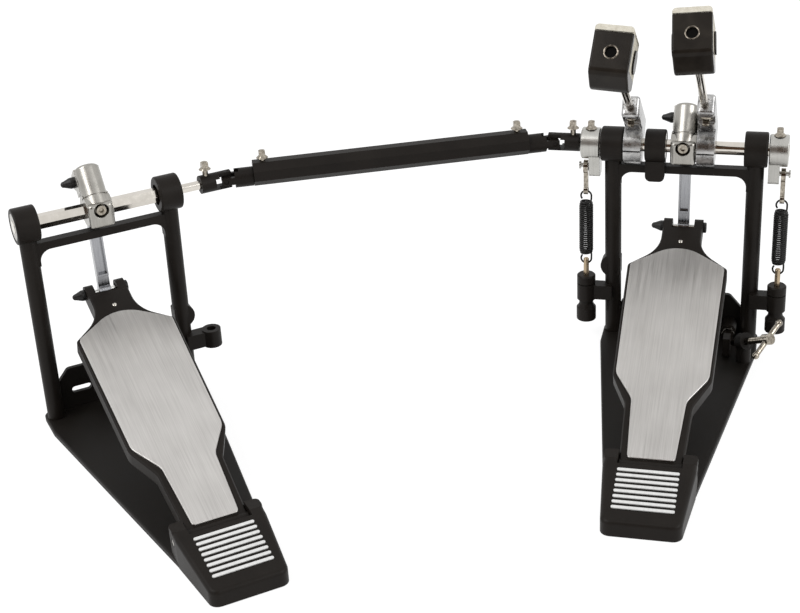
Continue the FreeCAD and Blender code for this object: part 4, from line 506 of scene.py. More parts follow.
@dataclass(frozen=True)
class Finish:
    """One finish of the pedal: its colours, gloss and the texture that breaks them up.

    Attributes:
        name: The material's name, after the record's slot.
        pattern: The texture.
        dark: Colour where the texture's tone is low.
        light: Colour where the tone is high.
        metallic: 1 for bare metal, 0 for paint, plastic and felt.
        rough: Least and greatest roughness.
        scale: Texture features per metre.
        bump: Height of the texture, in millimetres.
        edge: Radius by which sharp edges are softened, in millimetres.
        specular: Specular level of paint and plastic.
        coat: Weight of a clear coat.
        turn: Turn of the texture about X, Y and Z, in degrees.
        at: Where the texture's origin stands, in millimetres.
    """

    name: str
    pattern: Pattern
    dark: Colour
    light: Colour
    metallic: float
    rough: tuple[float, float]
    scale: float
    bump: float = 0.02
    edge: float = 0.4
    specular: float = 0.5
    coat: float = 0.0
    turn: Triple = (0.0, 0.0, 0.0)
    at: Triple = (0.0, 0.0, 0.0)

    def material(self, book: PatternBook, label: str = "") -> bpy.types.Material:
        """Builds the material.

        Args:
            book: Where the texture's node group comes from.
            label: Ending for the name, where one finish is made several times.

        Returns:
            The material, with its texture on Object coordinates.
        """
        made = bpy.data.materials.new(self.name + label)
        made.use_nodes = True
        wiring = Wiring(made.node_tree)
        shader = made.node_tree.nodes["Principled BSDF"]
        spot = wiring.add("ShaderNodeTexCoord").outputs["Object"]
        turn = tuple(math.radians(angle) for angle in self.turn)
        origin = tuple(length * MM for length in self.at)
        mapping = {"Vector": spot, "Rotation": turn, "Location": origin}
        local = wiring.add("ShaderNodeMapping", mapping, vector_type="TEXTURE")
        texture = wiring.add(
            "ShaderNodeGroup",
            {"Vector": local.outputs[0], "Scale": self.scale},
            node_tree=book.group(self.pattern),
        )
        self._shade(wiring, shader, texture, local.outputs[0])
        shader.inputs["Specular IOR Level"].default_value = self.specular
        if self.coat:
            shader.inputs["Coat Weight"].default_value = self.coat
        return made

    def _shade(self, wiring: Wiring, shader: Any, texture: Any, local: Any) -> None:
        """Feeds the shader's colour, roughness and normal from the texture.

        Args:
            wiring: The material's wiring.
            shader: Its Principled BSDF.
            texture: The texture's group node.
            local: The texture's coordinates; not used here.
        """
        tone = wiring.spread(texture.outputs["Tone"], *TEXTURE_SPAN, 0.0, 1.0)
        gloss = wiring.spread(texture.outputs["Gloss"], *TEXTURE_SPAN, *self.rough)
        links = wiring.tree.links
        links.new(wiring.tinted(tone, self.dark, self.light), shader.inputs["Base Color"])
        links.new(gloss, shader.inputs["Roughness"])
        shader.inputs["Metallic"].default_value = self.metallic
        self._raise(wiring, shader, texture)

    def _raise(self, wiring: Wiring, shader: Any, texture: Any) -> None:
        """Bumps the surface by the texture's height, over softened edges.

        Args:
            wiring: The material's wiring.
            shader: Its Principled BSDF.
            texture: The texture's group node.
        """
        inputs = {"Height": texture.outputs["Height"], "Strength": 1.0, "Distance": self.bump * MM}
        if self.edge:
            bevel = wiring.add("ShaderNodeBevel", {"Radius": self.edge * MM}, samples=4)
            inputs["Normal"] = bevel.outputs[0]
        bump = wiring.add("ShaderNodeBump", inputs)
        wiring.tree.links.new(bump.outputs[0], shader.inputs["Normal"])


@dataclass(frozen=True)
class GrippedPinFinish(Finish):
    """A steel pin whose ends carry moulded grips: bare between the lugs, grip outside them.

    Attributes:
        bare_half: Half the length that stays bare, in millimetres.
        steel: Colour of the bare pin.
        steel_rough: Its roughness.
    """

    bare_half: float = 11.2
    steel: Colour = (0.75, 0.75, 0.73)
    steel_rough: float = 0.18

    def _shade(self, wiring: Wiring, shader: Any, texture: Any, local: Any) -> None:
        """Splits colour, metal and roughness where |x| passes the bare half length.

        Args:
            wiring: The material's wiring.
            shader: Its Principled BSDF.
            texture: The texture's group node.
            local: The texture's coordinates.
        """
        along = wiring.add("ShaderNodeSeparateXYZ", {0: local}).outputs[0]
        away = wiring.maths("ABSOLUTE", along)
        grip = wiring.maths("GREATER_THAN", away, self.bare_half * MM)
        gloss = wiring.spread(texture.outputs["Gloss"], *TEXTURE_SPAN, *self.rough)
        links = wiring.tree.links
        links.new(wiring.tinted(grip, self.steel, self.dark), shader.inputs["Base Color"])
        links.new(wiring.maths("SUBTRACT", 1.0, grip), shader.inputs["Metallic"])
        links.new(wiring.blended(grip, self.steel_rough, gloss), shader.inputs["Roughness"])
        self._raise(wiring, shader, texture)


class Slot(Enum):
    """The record's material slots."""

    BLACK_CASTING = "black_casting"
    BLACK_SHEET = "black_sheet"
    BRUSHED_SHEET = "brushed_sheet"
    CAM_ALLOY = "cam_alloy"
    BRIGHT_ALLOY = "bright_alloy"
    BRIGHT_STEEL = "bright_steel"
    KEY_STEEL = "key_steel"
    BEARING_STEEL = "bearing_steel"
    LINK_STEEL = "link_steel"
    PIN_PLASTIC = "pin_plastic"
    HEAD_PLASTIC = "head_plastic"
    FELT = "felt"
    STRIP_PLASTIC = "strip_plastic"
    SPRING_WIRE = "spring_wire"
    EYE_BRASS = "eye_brass"


BOARD_ANGLE = 19.7
LEFT_YAW = 39.5
LEFT_PLACE: Triple = (-472.5, -191.0, 0.0)

FINISHES: dict[Slot, Finish] = {
    Slot.BLACK_CASTING: Finish(
        "black_casting", Pattern.COATED, (0.0085, 0.0066, 0.0052), (0.0135, 0.0108, 0.0088), 0.0,
        (0.38, 0.5), 1500.0, bump=0.03, edge=0.6, specular=0.13,
    ),
    Slot.BLACK_SHEET: Finish(
        "black_sheet", Pattern.COATED, (0.0082, 0.0068, 0.0056), (0.0125, 0.0105, 0.0088), 0.0,
        (0.42, 0.56), 1800.0, bump=0.02, edge=0.5, specular=0.13,
    ),
    Slot.BRUSHED_SHEET: Finish(
        "brushed_sheet", Pattern.BRUSHED, (0.45, 0.434, 0.418), (0.645, 0.628, 0.606), 1.0,
        (0.32, 0.44), 2600.0, bump=0.012, edge=0.3,
    ),
    Slot.CAM_ALLOY: Finish(
        "cam_alloy", Pattern.TURNED, (0.3, 0.29, 0.265), (0.42, 0.405, 0.375), 1.0,
        (0.2, 0.32), 1500.0, bump=0.01, edge=0.5,
    ),
    Slot.BRIGHT_ALLOY: Finish(
        "bright_alloy", Pattern.CAST, (0.27, 0.268, 0.27), (0.56, 0.555, 0.545), 1.0,
        (0.2, 0.36), 700.0, bump=0.07, edge=0.7,
    ),
    Slot.BRIGHT_STEEL: Finish(
        "bright_steel", Pattern.PLATED, (0.62, 0.585, 0.53), (0.68, 0.645, 0.59), 1.0,
        (0.06, 0.13), 160.0, bump=0.002, edge=0.3,
    ),
    Slot.KEY_STEEL: Finish(
        "key_steel", Pattern.PLATED, (0.16, 0.138, 0.11), (0.46, 0.42, 0.355), 1.0,
        (0.06, 0.15), 420.0, bump=0.004, edge=0.35,
    ),
    Slot.BEARING_STEEL: Finish(
        "bearing_steel", Pattern.TURNED, (0.3, 0.29, 0.27), (0.5, 0.48, 0.44), 1.0,
        (0.22, 0.36), 1500.0, bump=0.008, edge=0.3,
    ),
    Slot.LINK_STEEL: Finish(
        "link_steel", Pattern.BRUSHED, (0.24, 0.245, 0.26), (0.42, 0.425, 0.44), 1.0,
        (0.16, 0.28), 2000.0, bump=0.008, edge=0.4,
    ),
    Slot.PIN_PLASTIC: Finish(
        "pin_plastic", Pattern.MOULDED, (0.012, 0.0115, 0.011), (0.018, 0.017, 0.016), 0.0,
        (0.4, 0.55), 2000.0, bump=0.02, edge=0.4, specular=0.35,
    ),
    Slot.HEAD_PLASTIC: Finish(
        "head_plastic", Pattern.MOULDED, (0.0125, 0.0098, 0.0076), (0.023, 0.0186, 0.0146), 0.0,
        (0.16, 0.26), 1200.0, bump=0.012, edge=0.7, specular=0.11,
    ),
    Slot.FELT: Finish(
        "felt", Pattern.FELTED, (0.54, 0.5, 0.41), (0.78, 0.745, 0.65), 0.0,
        (0.85, 1.0), 1400.0, bump=0.25, edge=0.0, specular=0.15,
    ),
    Slot.STRIP_PLASTIC: Finish(
        "strip_plastic", Pattern.BRUSHED, (0.66, 0.66, 0.65), (0.84, 0.84, 0.83), 0.0,
        (0.4, 0.55), 1500.0, bump=0.01, edge=0.25, specular=0.4,
    ),
    Slot.SPRING_WIRE: Finish(
        "spring_wire", Pattern.PLATED, (0.006, 0.0057, 0.0052), (0.012, 0.0114, 0.0105), 0.0,
        (0.28, 0.42), 500.0, bump=0.004, edge=0.0, specular=0.2,
    ),
    Slot.EYE_BRASS: Finish(
        "eye_brass", Pattern.TURNED, (0.34, 0.26, 0.17), (0.55, 0.44, 0.3), 1.0,
        (0.25, 0.4), 1500.0, bump=0.01, edge=0.25,
    ),
}
ROCKER_ALLOY = replace(
    FINISHES[Slot.CAM_ALLOY], name="rocker_alloy", rough=(0.24, 0.36),
    dark=(0.4, 0.395, 0.37), light=(0.54, 0.53, 0.5),
)
BUSH_STEEL = replace(
    FINISHES[Slot.KEY_STEEL], name="bush_steel", dark=(0.06, 0.05, 0.04), light=(0.3, 0.265, 0.22),
)
# Near-black and barely reflecting: painted shade, for the disc deep in the rod's hole.
PAINTED_HOLE_SHADE = replace(
    FINISHES[Slot.PIN_PLASTIC], name="painted_hole_shade", dark=(0.002, 0.0018, 0.0016),
    light=(0.004, 0.0036, 0.0032), specular=0.04,
)
GRIPPED_PIN = GrippedPinFinish(
    "gripped_pin", Pattern.MOULDED, (0.008, 0.0076, 0.0072), (0.014, 0.0132, 0.0125), 0.0,
    (0.35, 0.5), 2000.0, bump=0.02, edge=0.4, specular=0.4,
)


class Paintbox:
    """Makes each finish's material once and hands it out."""

    def __init__(self) -> None:
        """Starts with no materials."""
        self.book = PatternBook()
        self.made: dict[Any, bpy.types.Material] = {}

    def of(self, finish: Finish, label: str = "") -> bpy.types.Material:
        """The material of a finish, built when it is first asked for.

        Args:
            finish: The finish.
            label: Ending for the name, where one finish is turned or placed several ways.

        Returns:
            The material.
        """
        key = (finish, label)
        if key not in self.made:
            self.made[key] = finish.material(self.book, label)
        return self.made[key]

    def coat(self, piece: bpy.types.Object, finish: Finish, label: str = "") -> None:
        """Puts a finish in a piece's material slots, or gives the piece its first slot.

        Args:
            piece: The piece or CAD node.
            finish: Its finish.
            label: Ending for the material's name.
        """
        if not piece.material_slots:
            piece.data.materials.append(None)
        for place in piece.material_slots:
            place.material = self.of(finish, label)


def pedal_place(side: str) -> Matrix:
    """Where a pedal stands on the floor: the main one at the origin, the left one moved and turned."""
    return Matrix.Identity(4) if side == "main" else moved(*LEFT_PLACE) @ turned("Z", LEFT_YAW)


@dataclass
class ReturnSpring:
    """A close-wound spring with a hook at each end, stretched between an eye bolt and a clip.

    Attributes:
        side: Which spring, main or left.
        across: Distance of the spring's axis from the middle of the shaft.
        wire: Diameter of the wire.
        coil: Diameter of the coil at the middle of the wire.
        end_coil: The same at the drawn-in end turns.
        low: Height where the coil starts.
        high: Height where the coil ends.
        turns: Turns of the coil.
        hook: Radius of the hooks.
        hook_rise: From the coil's end to the hook's middle.
        hook_open: Angle left open at a hook's tip, in degrees.
        lead: Turns that the run from hook to coil takes.
        turn_points: Points along each turn.
        hook_points: Points along each hook.
        join_points: Points along each run from hook to coil, its ends among them.
        sides: Points round the wire.
    """

    side: str
    across: float = 86.0
    wire: float = 1.7
    coil: float = 11.2
    end_coil: float = 9.2
    low: float = 87.4
    high: float = 139.6
    turns: int = 25
    hook: float = 4.7
    hook_rise: float = 5.2
    hook_open: float = 40.0
    lead: float = 0.12
    turn_points: int = 32
    hook_points: int = 40
    join_points: int = 18
    sides: int = 12

    def coil_line(self) -> np.ndarray:
        """The coil's middle line: a helix whose radius shrinks over the first and last two turns.

        Returns:
            Array of points x 3.
        """
        turn = np.linspace(self.lead, self.turns - self.lead, self.turns * self.turn_points)
        drawn = np.clip(1 - np.minimum(turn, self.turns - turn) / 2, 0, 1)
        radius = (self.coil - (self.coil - self.end_coil) * drawn) / 2
        angle = 2 * np.pi * turn
        height = self.low + (self.high - self.low) * turn / self.turns
        return np.stack([radius * np.cos(angle), radius * np.sin(angle), height], axis=-1)

    def hook_line(self, middle: float, start: float, end: float) -> np.ndarray:
        """A hook's arc in the x-z plane: (r cos a, 0, middle + r sin a).

        Args:
            middle: Height of the hook's middle.
            start: Angle where it starts, in degrees.
            end: Angle where it ends.

        Returns:
            Array of points x 3.
        """
        angle = np.radians(np.linspace(start, end, self.hook_points))
        across, up = self.hook * np.cos(angle), self.hook * np.sin(angle)
        return np.stack([across, 0 * angle, middle + up], axis=-1)

    def join(
        self, start: np.ndarray, heading: np.ndarray, end: np.ndarray, arriving: np.ndarray
    ) -> np.ndarray:
        """Smooth run between two points with given headings, by the cubic Hermite formula.

        Args:
            start: First point.
            heading: Direction there.
            end: Last point.
            arriving: Direction there.

        Returns:
            The points between the two, points x 3.
        """
        share = np.linspace(0, 1, self.join_points)[1:-1, None]
        length = np.linalg.norm(end - start)
        return (
            (2 * share**3 - 3 * share**2 + 1) * start
            + (share**3 - 2 * share**2 + share) * length * heading
            + (3 * share**2 - 2 * share**3) * end
            + (share**3 - share**2) * length * arriving
        )

    def line(self) -> tuple[np.ndarray, np.ndarray]:
        """Whole middle line of the wire, with a reference direction at each point.

        Returns:
            The points, and directions that turn from Y at the hooks to Z along the coil.
        """
        up = np.array([0.0, 0.0, 1.0])
        sideways = np.array([0.0, 1.0, 0.0])
        coil = self.coil_line()
        lower = self.hook_line(self.low - self.hook_rise, 180 - self.hook_open, 360)
        upper = self.hook_line(self.high + self.hook_rise, 0, 180 + self.hook_open)
        first, last = unit(coil[1] - coil[0]), unit(coil[-1] - coil[-2])
        rise = self.join(lower[-1], up, coil[0], first)
        fall = self.join(coil[-1], last, upper[0], up)
        share = np.linspace(0, 1, len(rise))[:, None]
        reference = np.concatenate([
            np.broadcast_to(sideways, lower.shape),
            (1 - share) * sideways + share * up,
            np.broadcast_to(up, coil.shape),
            (1 - share) * up + share * sideways,
            np.broadcast_to(sideways, upper.shape),
        ])
        return np.concatenate([lower, rise, coil, fall, upper]), reference

    def build(self, paints: Paintbox) -> bpy.types.Object:
        """Makes the spring in place of its node, fixed where it stands at rest.

        Args:
            paints: Where the materials come from.

        Returns:
            The spring.
        """
        place = moved(self.across if self.side == "main" else -self.across, 0, 0)
        path, reference = self.line()
        wire = Skin(placed(tube(path, self.wire / 2, reference, self.sides), place))
        made = add_piece(f"{self.side}_coil_spring", [wire])
        paints.coat(made, FINISHES[Slot.SPRING_WIRE])
        body, clip = f"{self.side}_spring", f"{self.side}_spring_clip"
        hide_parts(body)
        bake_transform(made)
        return made


@dataclass
class BeaterHead:
    """A beater's head: the felt pad that wraps the drum side and both flanks of its shell.

    The head's frame stands at the rod's end with Z along the rod and Y toward the drum.

    Attributes:
        side: Which beater, main or left.
        across: The beater's place along the shaft.
        tilt: How far the rod leans back, in degrees.
        rod: Length of rod from the holder to the head's end.
        lean: Sideways lean of the rod, in degrees.
        turn: The head's turn about the rod, in degrees.
        offset: Distance of the rod's foot from the shaft's axis.
        shaft_height: Height of the shaft's axis.
        half: Half the head's width.
        flank: Thickness of the felt on the flanks.
        front: Where the flanks' felt ends, on the player's side.
        back: Where the shell ends, on the drum's side.
        pad: Thickness of the felt on the drum's side.
        length: Length of the head along the rod.
        cap: Thickness of the shell's end plate.
        corner: Radius of the felt's outer corners.
        tip: Radius of the flanks' ends.
        crease: Radius where the felt meets the shell's corners.
        rim: Radius of the felt's rims.
    """

    side: str
    across: float
    tilt: float
    rod: float
    lean: float
    turn: float
    offset: float = 20.0
    shaft_height: float = 196.0
    half: float = 15.45
    flank: float = 2.6
    front: float = -12.0
    back: float = 16.4
    pad: float = 5.8
    length: float = 35.7
    cap: float = 6.0
    corner: float = 3.2
    tip: float = 0.8
    crease: float = 0.2
    rim: float = 0.9

    def place(self) -> Matrix:
        """Where the head's frame stands at rest.

        Returns:
            The place of its end, in metres.
        """
        tilt = math.radians(self.tilt)
        foot = moved(
            self.across,
            self.offset * math.cos(tilt),
            self.shaft_height + self.offset * math.sin(tilt),
        )
        rod = turned("X", self.tilt) @ turned("Y", -self.lean) @ moved(0, 0, self.rod)
        return foot @ rod @ turned("Z", self.turn)

    def wrap_outline(self) -> np.ndarray:
        """Outline of the wrapped felt: a U with its back to the drum.

        Returns:
            Array of points x 2.
        """
        inner, outer = self.half - self.flank, self.half
        face, tip = self.back + self.pad, self.tip
        return rounded_outline([
            (outer, self.front, tip),
            (outer, face, self.corner),
            (-outer, face, self.corner),
            (-outer, self.front, tip),
            (-inner, self.front, tip),
            (-inner, self.back, self.crease),
            (inner, self.back, self.crease),
            (inner, self.front, tip),
        ])

    def cap_outline(self) -> np.ndarray:
        """Outline of the pad beyond the end plate: the U's back alone.

        Returns:
            Array of points x 2.
        """
        face = self.back + self.pad
        return rounded_outline([
            (self.half, self.back, self.crease),
            (self.half, face, self.corner),
            (-self.half, face, self.corner),
            (-self.half, self.back, self.crease),
        ])

    def build(self, paints: Paintbox) -> bpy.types.Object:
        """Makes the felt in place of its node, on the beater's head.

        Args:
            paints: Where the materials come from.

        Returns:
            The felt.
        """
        place = self.place()
        wrap = upright(self.wrap_outline(), -self.length, -self.cap, self.rim)
        cap = upright(self.cap_outline(), -self.length, 0, self.rim)
        skins = [Skin(placed(rings, place), Cap.FACE) for rings in (wrap, cap)]
        made = add_piece(f"{self.side}_felt_pad", skins)
        paints.coat(made, FINISHES[Slot.FELT])
        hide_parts(f"{self.side}_beater_felt")
        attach(made, f"{self.side}_beater_head")
        return made


@dataclass
class RodBush:
    """The bright ring round the rod's hole in a beater's head, and a near-black disc in the hole that
    paints its shade.

    Attributes:
        head: The beater's head that it sits in.
        inner: Radius of the hole.
        outer: Radius of the ring.
        rise: Height of the ring over the head's end.
        depth: Depth of the disc of painted shade under the head's end.
        shade_disc: Thickness of the disc of painted shade.
        section: Points round the ring's section.
        sides: Points round the ring and the plug.
    """

    head: BeaterHead
    inner: float = 4.65
    outer: float = 5.95
    rise: float = 0.35
    depth: float = 1.9
    shade_disc: float = 0.6
    section: int = 24
    sides: int = 48

    def ring(self) -> np.ndarray:
        """The ring: a rounded section carried round Z, r = middle + half cos b, h = rise sin b.

        Returns:
            Array of sides x section x 3.
        """
        angle = np.linspace(0, 2 * np.pi, self.section, endpoint=False)
        middle, half = (self.outer + self.inner) / 2, (self.outer - self.inner) / 2
        section = np.stack([middle + half * np.cos(angle), self.rise * np.sin(angle)], axis=-1)
        return np.swapaxes(revolved(section, self.sides), 0, 1)

    def disc(self) -> np.ndarray:
        """The disc of painted shade in the rod's hole: flat, with eased rims.

        Returns:
            Array of rings x sides x 3.
        """
        low, high, rim = -self.depth - self.shade_disc, -self.depth, self.shade_disc / 3
        wall, face = self.inner, self.inner - rim
        profile = [[face, low], [wall, low + rim], [wall, high - rim], [face, high]]
        return revolved(np.array(profile), self.sides)

    def build(self, paints: Paintbox) -> bpy.types.Object:
        """Makes the ring and the disc of painted shade in the hole, which both ride on the head.

        Args:
            paints: Where the materials come from.

        Returns:
            The ring.
        """
        place, side = self.head.place(), self.head.side
        ring = add_piece(f"{side}_rod_bush", [Skin(placed(self.ring(), place), Cap.LOOP)])
        # The disc is near black: painted shade of the hole's depth.
        shade_disc = add_piece(f"{side}_rod_hole_shade", [Skin(placed(self.disc(), place))])
        looks = ((ring, Slot.KEY_STEEL, BUSH_STEEL), (shade_disc, Slot.PIN_PLASTIC, PAINTED_HOLE_SHADE))
        for made, slot, finish in looks:
            paints.coat(made, finish)
            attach(made, f"{side}_beater_head")
        return ring


@dataclass
class BoardRivet:
    """The domed rivet in the neck of a footboard.

    Attributes:
        side: Which pedal, main or left.
        heel: Place of the heel pin: y and z.
        along: Distance from the heel pin along the board.
        top: Height of the board's top over the heel pin's axis, square to the board.
        radius: Radius of the rivet's head.
        dome: Height of its dome.
        sides: Points round it.
    """

    side: str
    heel: tuple[float, float] = (-245.9, 19.0)
    along: float = 252.5
    top: float = 4.9
    radius: float = 2.0
    dome: float = 1.0
    sides: int = 28

    def build(self, paints: Paintbox) -> bpy.types.Object:
        """Makes the dome, h = dome sqrt(1 - (r / radius)^2), sunk a little into the board.

        Args:
            paints: Where the materials come from.

        Returns:
            The rivet.
        """
        place = pedal_place(self.side) @ moved(0, *self.heel) @ turned("X", BOARD_ANGLE)
        place = place @ moved(0, self.along, self.top)
        angle = np.linspace(0, np.pi / 2, 8)[:-1]
        dome = np.stack([self.radius * np.cos(angle), self.dome * np.sin(angle)], axis=-1)
        profile = np.concatenate([[[self.radius, -self.dome]], dome])
        rings = placed(revolved(profile, self.sides), place)
        made = add_piece(f"{self.side}_board_rivet", [Skin(rings)])
        paints.coat(made, FINISHES[Slot.BRIGHT_STEEL])
        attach(made, f"{self.side}_footboard")
        return made


@dataclass
class Dressing:
    """Gives every CAD node the finish of its material slot.

    Attributes:
        paints: Where the materials come from.
        left_bodies: The bodies that stand turned with the left pedal.
        pins: The pins with black grips.
        special: Nodes whose finish isn't their slot's plain one.
        lies: Slope of the grain of the brushed pieces, in degrees.
    """

    paints: Paintbox
    left_bodies: tuple[str, ...] = ("left_base", "left_shaft", "left_footboard", "left_link")
    pins: tuple[str, ...] = ("main_link_pins", "left_link_pins")
    special: ClassVar[dict[str, Finish]] = {
        "left_cross": FINISHES[Slot.BLACK_CASTING],
        "right_cross": FINISHES[Slot.BLACK_CASTING],
        "main_spring_rocker": ROCKER_ALLOY,
        "left_spring_rocker": ROCKER_ALLOY,
        "main_spring_clip": FINISHES[Slot.KEY_STEEL],
        "left_spring_clip": FINISHES[Slot.KEY_STEEL],
        "clamp_screw": FINISHES[Slot.KEY_STEEL],
    }
    lies: ClassVar[dict[Slot, float]] = {Slot.BRUSHED_SHEET: BOARD_ANGLE, Slot.LINK_STEEL: 84.0}

    def apply(self) -> None:
        """Coats each node with its own finish."""
        for part in frame["record"]["subparts"]:
            node, slot = part["node"], Slot(part["material_slot"])
            self.paints.coat(frame["nodes"][node], *self.finish_of(node, slot))
            LOG.info("finish %s on %s", slot.value, node)

    def finish_of(self, node: str, slot: Slot) -> tuple[Finish, str]:
        """A node's finish and the ending of its material's name.

        Args:
            node: The CAD node.
            slot: Its material slot.

        Returns:
            The slot's finish, turned where its texture has a direction.
        """
        if node in self.special:
            return self.special[node], ""
        finish = GRIPPED_PIN if node in self.pins else FINISHES[slot]
        bodies = frame["record"]["behaviour"]["bodies"]
        on_left = any(node in bodies[body] for body in self.left_bodies)
        lie = self.lies.get(slot, 0.0)
        if on_left:
            return replace(finish, turn=(lie, 0.0, LEFT_YAW), at=LEFT_PLACE), "_left"
        return replace(finish, turn=(lie, 0.0, 0.0)), ""


@dataclass
class PhotoCamera:
    """The camera of the photograph, found from both pedals.

    Attributes:
        target: Point that it looks at.
        distance: From the camera to that point.
        azimuth: Bearing of the camera round Z from -Y, in degrees.
        elevation: Its height angle, in degrees.
        roll: Its turn about the line of sight, in degrees.
        lens: Focal length on a 36 mm sensor, in millimetres.
    """

    target: Triple = (-242.139, -87.0, 65.438)
    distance: float = 1456.95
    azimuth: float = 15.55
    elevation: float = 27.42
    roll: float = -3.48
    lens: float = 72.72

    def build(self) -> bpy.types.Object:
        """Makes the camera and sets it as the scene's.

        Returns:
            The camera.
        """
        place = moved(*self.target) @ turned("Z", self.azimuth) @ turned("X", 90.0 - self.elevation)
        place = place @ moved(0, 0, self.distance) @ turned("Z", self.roll)
        lens = bpy.data.cameras.new("photo_camera")
        lens.lens = self.lens
        lens.sensor_width = 36.0
        lens.sensor_fit = "HORIZONTAL"
        made = bpy.data.objects.new("photo_camera", lens)
        made.matrix_world = place
        bpy.context.scene.collection.objects.link(made)
        bpy.context.scene.camera = made
        return made


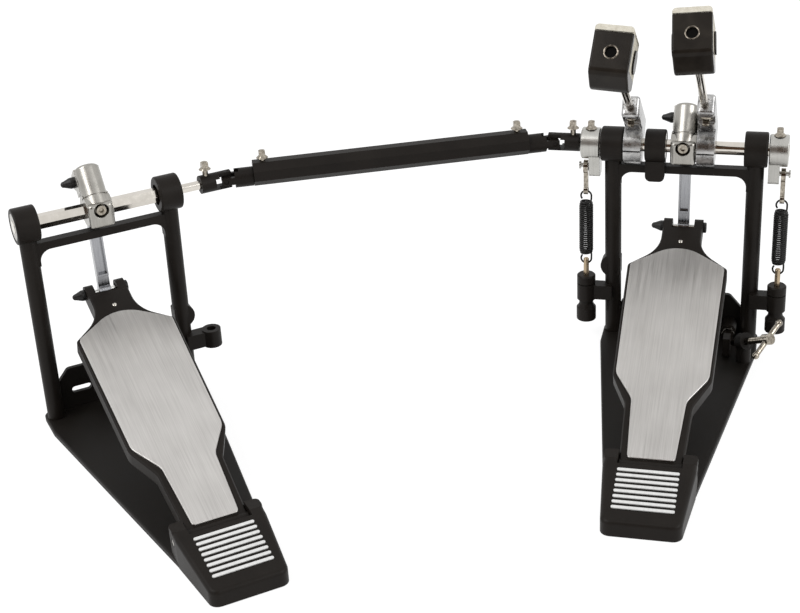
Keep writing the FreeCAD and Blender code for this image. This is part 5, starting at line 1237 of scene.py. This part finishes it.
@dataclass
class Studio:
    """A white floor and soft light from all round, with two large lamps.

    Attributes:
        floor_radius: Radius of the floor.
        floor_drop: How far the floor lies under the part's lowest face.
        floor_thick: Thickness of the floor.
        floor_sides: Points round its rim.
        paper: The floor's own grey, for the light it throws back.
        floor_shade: Share of the floor's white that the shadows can take away.
        floor_glow: White that the floor shows even in a shadow.
        ambient: Strength of the light from all round.
        aim: Point that the lamps and the card are turned to.
        lamps: Each lamp's name, place, width and power.
        card_at: Where the dark card stands that gives the bright metal its dark bands.
        card_size: The card's width and height.
        card_thick: Its thickness.
        card_corner: Radius of its corners.
        card_rim: Radius of its rims.
        card_colour: Its colour.
    """

    floor_radius: float = 6000.0
    floor_drop: float = 0.2
    floor_thick: float = 1.0
    floor_sides: int = 96
    paper: float = 0.8
    floor_shade: float = 0.3
    floor_glow: float = 0.84
    ambient: float = 0.55
    aim: Triple = (-200.0, -90.0, 80.0)
    lamps: tuple[tuple[str, Triple, float, float], ...] = (
        ("key_lamp", (-1500.0, -1500.0, 2200.0), 1600.0, 33.0),
        ("side_lamp", (1800.0, -700.0, 1500.0), 1200.0, 20.0),
    )
    card_at: Triple = (0.0, -2000.0, 1150.0)
    card_size: tuple[float, float] = (1700.0, 2000.0)
    card_thick: float = 10.0
    card_corner: float = 40.0
    card_rim: float = 2.0
    card_colour: Colour = (0.1, 0.055, 0.03)

    def facing(self, spot: Triple, front: str) -> Matrix:
        """Place at a spot, turned so that an axis points at the aim.

        Args:
            spot: Where it stands, in millimetres.
            front: The axis that points at the aim.

        Returns:
            The place, in metres.
        """
        at = Vector(spot) * MM
        ahead = Vector(self.aim) * MM - at
        return Matrix.Translation(at) @ ahead.to_track_quat(front, "Y").to_matrix().to_4x4()

    def floor(self) -> bpy.types.Object:
        """A flat disc under the pedals: p = (r cos a, r sin a, -drop).

        Returns:
            The floor.
        """
        wide, top = self.floor_radius, -self.floor_drop
        profile = np.array([[wide, top - self.floor_thick], [wide, top]])
        rings = placed(revolved(profile, self.floor_sides), Matrix.Identity(4))
        made = add_piece("studio_floor", [Skin(rings)])
        made.data.materials.append(self.floor_material())
        return made

    def card(self) -> bpy.types.Object:
        """A dark card by the camera, turned to the pedals, that only mirrors show.

        Returns:
            The card.
        """
        wide, tall = (length / 2 for length in self.card_size)
        corners = ((wide, -tall), (wide, tall), (-wide, tall), (-wide, -tall))
        outline = rounded_outline([(*corner, self.card_corner) for corner in corners])
        half = self.card_thick / 2
        rings = placed(upright(outline, -half, half, self.card_rim), self.facing(self.card_at, "Z"))
        made = add_piece("studio_card", [Skin(rings, Cap.FACE)])
        cloth = bpy.data.materials.new("studio_cloth")
        cloth.use_nodes = True
        shader = cloth.node_tree.nodes["Principled BSDF"]
        shader.inputs["Base Color"].default_value = (*self.card_colour, 1.0)
        shader.inputs["Roughness"].default_value = 1.0
        made.data.materials.append(cloth)
        made.visible_camera = False
        made.visible_diffuse = False
        made.visible_shadow = False
        return made

    def seen(self, wiring: Wiring) -> Any:
        """1 for what the camera sees, straight, mirrored or through glass, else 0.

        Args:
            wiring: The wiring of the floor's or the world's nodes.

        Returns:
            The value's socket.
        """
        light = wiring.add("ShaderNodeLightPath").outputs
        mirrored = wiring.maths("MAXIMUM", light["Is Glossy Ray"], light["Is Transmission Ray"])
        return wiring.maths("MAXIMUM", light["Is Camera Ray"], mirrored)

    def floor_material(self) -> bpy.types.Material:
        """White where it is seen, keeping the object's shadow, and pale paper to thrown light.

        Returns:
            The floor's material.
        """
        made = bpy.data.materials.new("studio_paper")
        made.use_nodes = True
        wiring = Wiring(made.node_tree)
        made.node_tree.nodes.remove(made.node_tree.nodes["Principled BSDF"])
        paper, shaded = (
            wiring.add("ShaderNodeBsdfDiffuse", {"Color": (grey, grey, grey, 1.0)})
            for grey in (self.paper, self.floor_shade)
        )
        glow = {"Color": (1.0, 1.0, 1.0, 1.0), "Strength": self.floor_glow}
        white = wiring.add("ShaderNodeEmission", glow)
        seen = wiring.add("ShaderNodeAddShader", {0: shaded.outputs[0], 1: white.outputs[0]})
        mix = {0: self.seen(wiring), 1: paper.outputs[0], 2: seen.outputs[0]}
        mixed = wiring.add("ShaderNodeMixShader", mix)
        surface = made.node_tree.nodes["Material Output"].inputs["Surface"]
        made.node_tree.links.new(mixed.outputs[0], surface)
        return made

    def world(self) -> None:
        """White where it is seen, and a plain light from all round."""
        world = bpy.data.worlds.new("studio_light")
        world.use_nodes = True
        bpy.context.scene.world = world
        wiring = Wiring(world.node_tree)
        strength = wiring.blended(self.seen(wiring), self.ambient, 1.0)
        ground = world.node_tree.nodes["Background"]
        ground.inputs["Color"].default_value = (1.0, 1.0, 1.0, 1.0)
        world.node_tree.links.new(strength, ground.inputs["Strength"])

    def build(self) -> None:
        """Makes the floor, the card, the light from all round and the lamps."""
        self.floor()
        self.card()
        self.world()
        for name, spot, width, power in self.lamps:
            lamp = bpy.data.lights.new(name, "AREA")
            lamp.size = width * MM
            lamp.energy = power
            made = bpy.data.objects.new(name, lamp)
            made.matrix_world = self.facing(spot, "-Z")
            bpy.context.scene.collection.objects.link(made)
        bpy.context.scene.view_settings.view_transform = "Standard"


def main() -> None:
    """Builds the looks piece by piece."""
    logging.basicConfig(level=logging.INFO, format="%(message)s")
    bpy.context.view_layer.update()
    paints = Paintbox()
    PhotoCamera().build()
    Studio().build()
    Dressing(paints).apply()
    heads = [
        BeaterHead("main", across=19.3, tilt=46.4, rod=187.0, lean=1.9, turn=4.4),
        BeaterHead("left", across=-44.0, tilt=52.5, rod=191.0, lean=0.9, turn=-4.5),
    ]
    pieces = [
        ReturnSpring("main"),
        ReturnSpring("left"),
        *heads,
        *(RodBush(head) for head in heads),
        BoardRivet("main"),
        BoardRivet("left"),
    ]
    for piece in pieces:
        made = piece.build(paints)
        LOG.info("piece %s: %d faces", made.name, len(made.data.polygons))


if __name__ == "__main__":
    main()
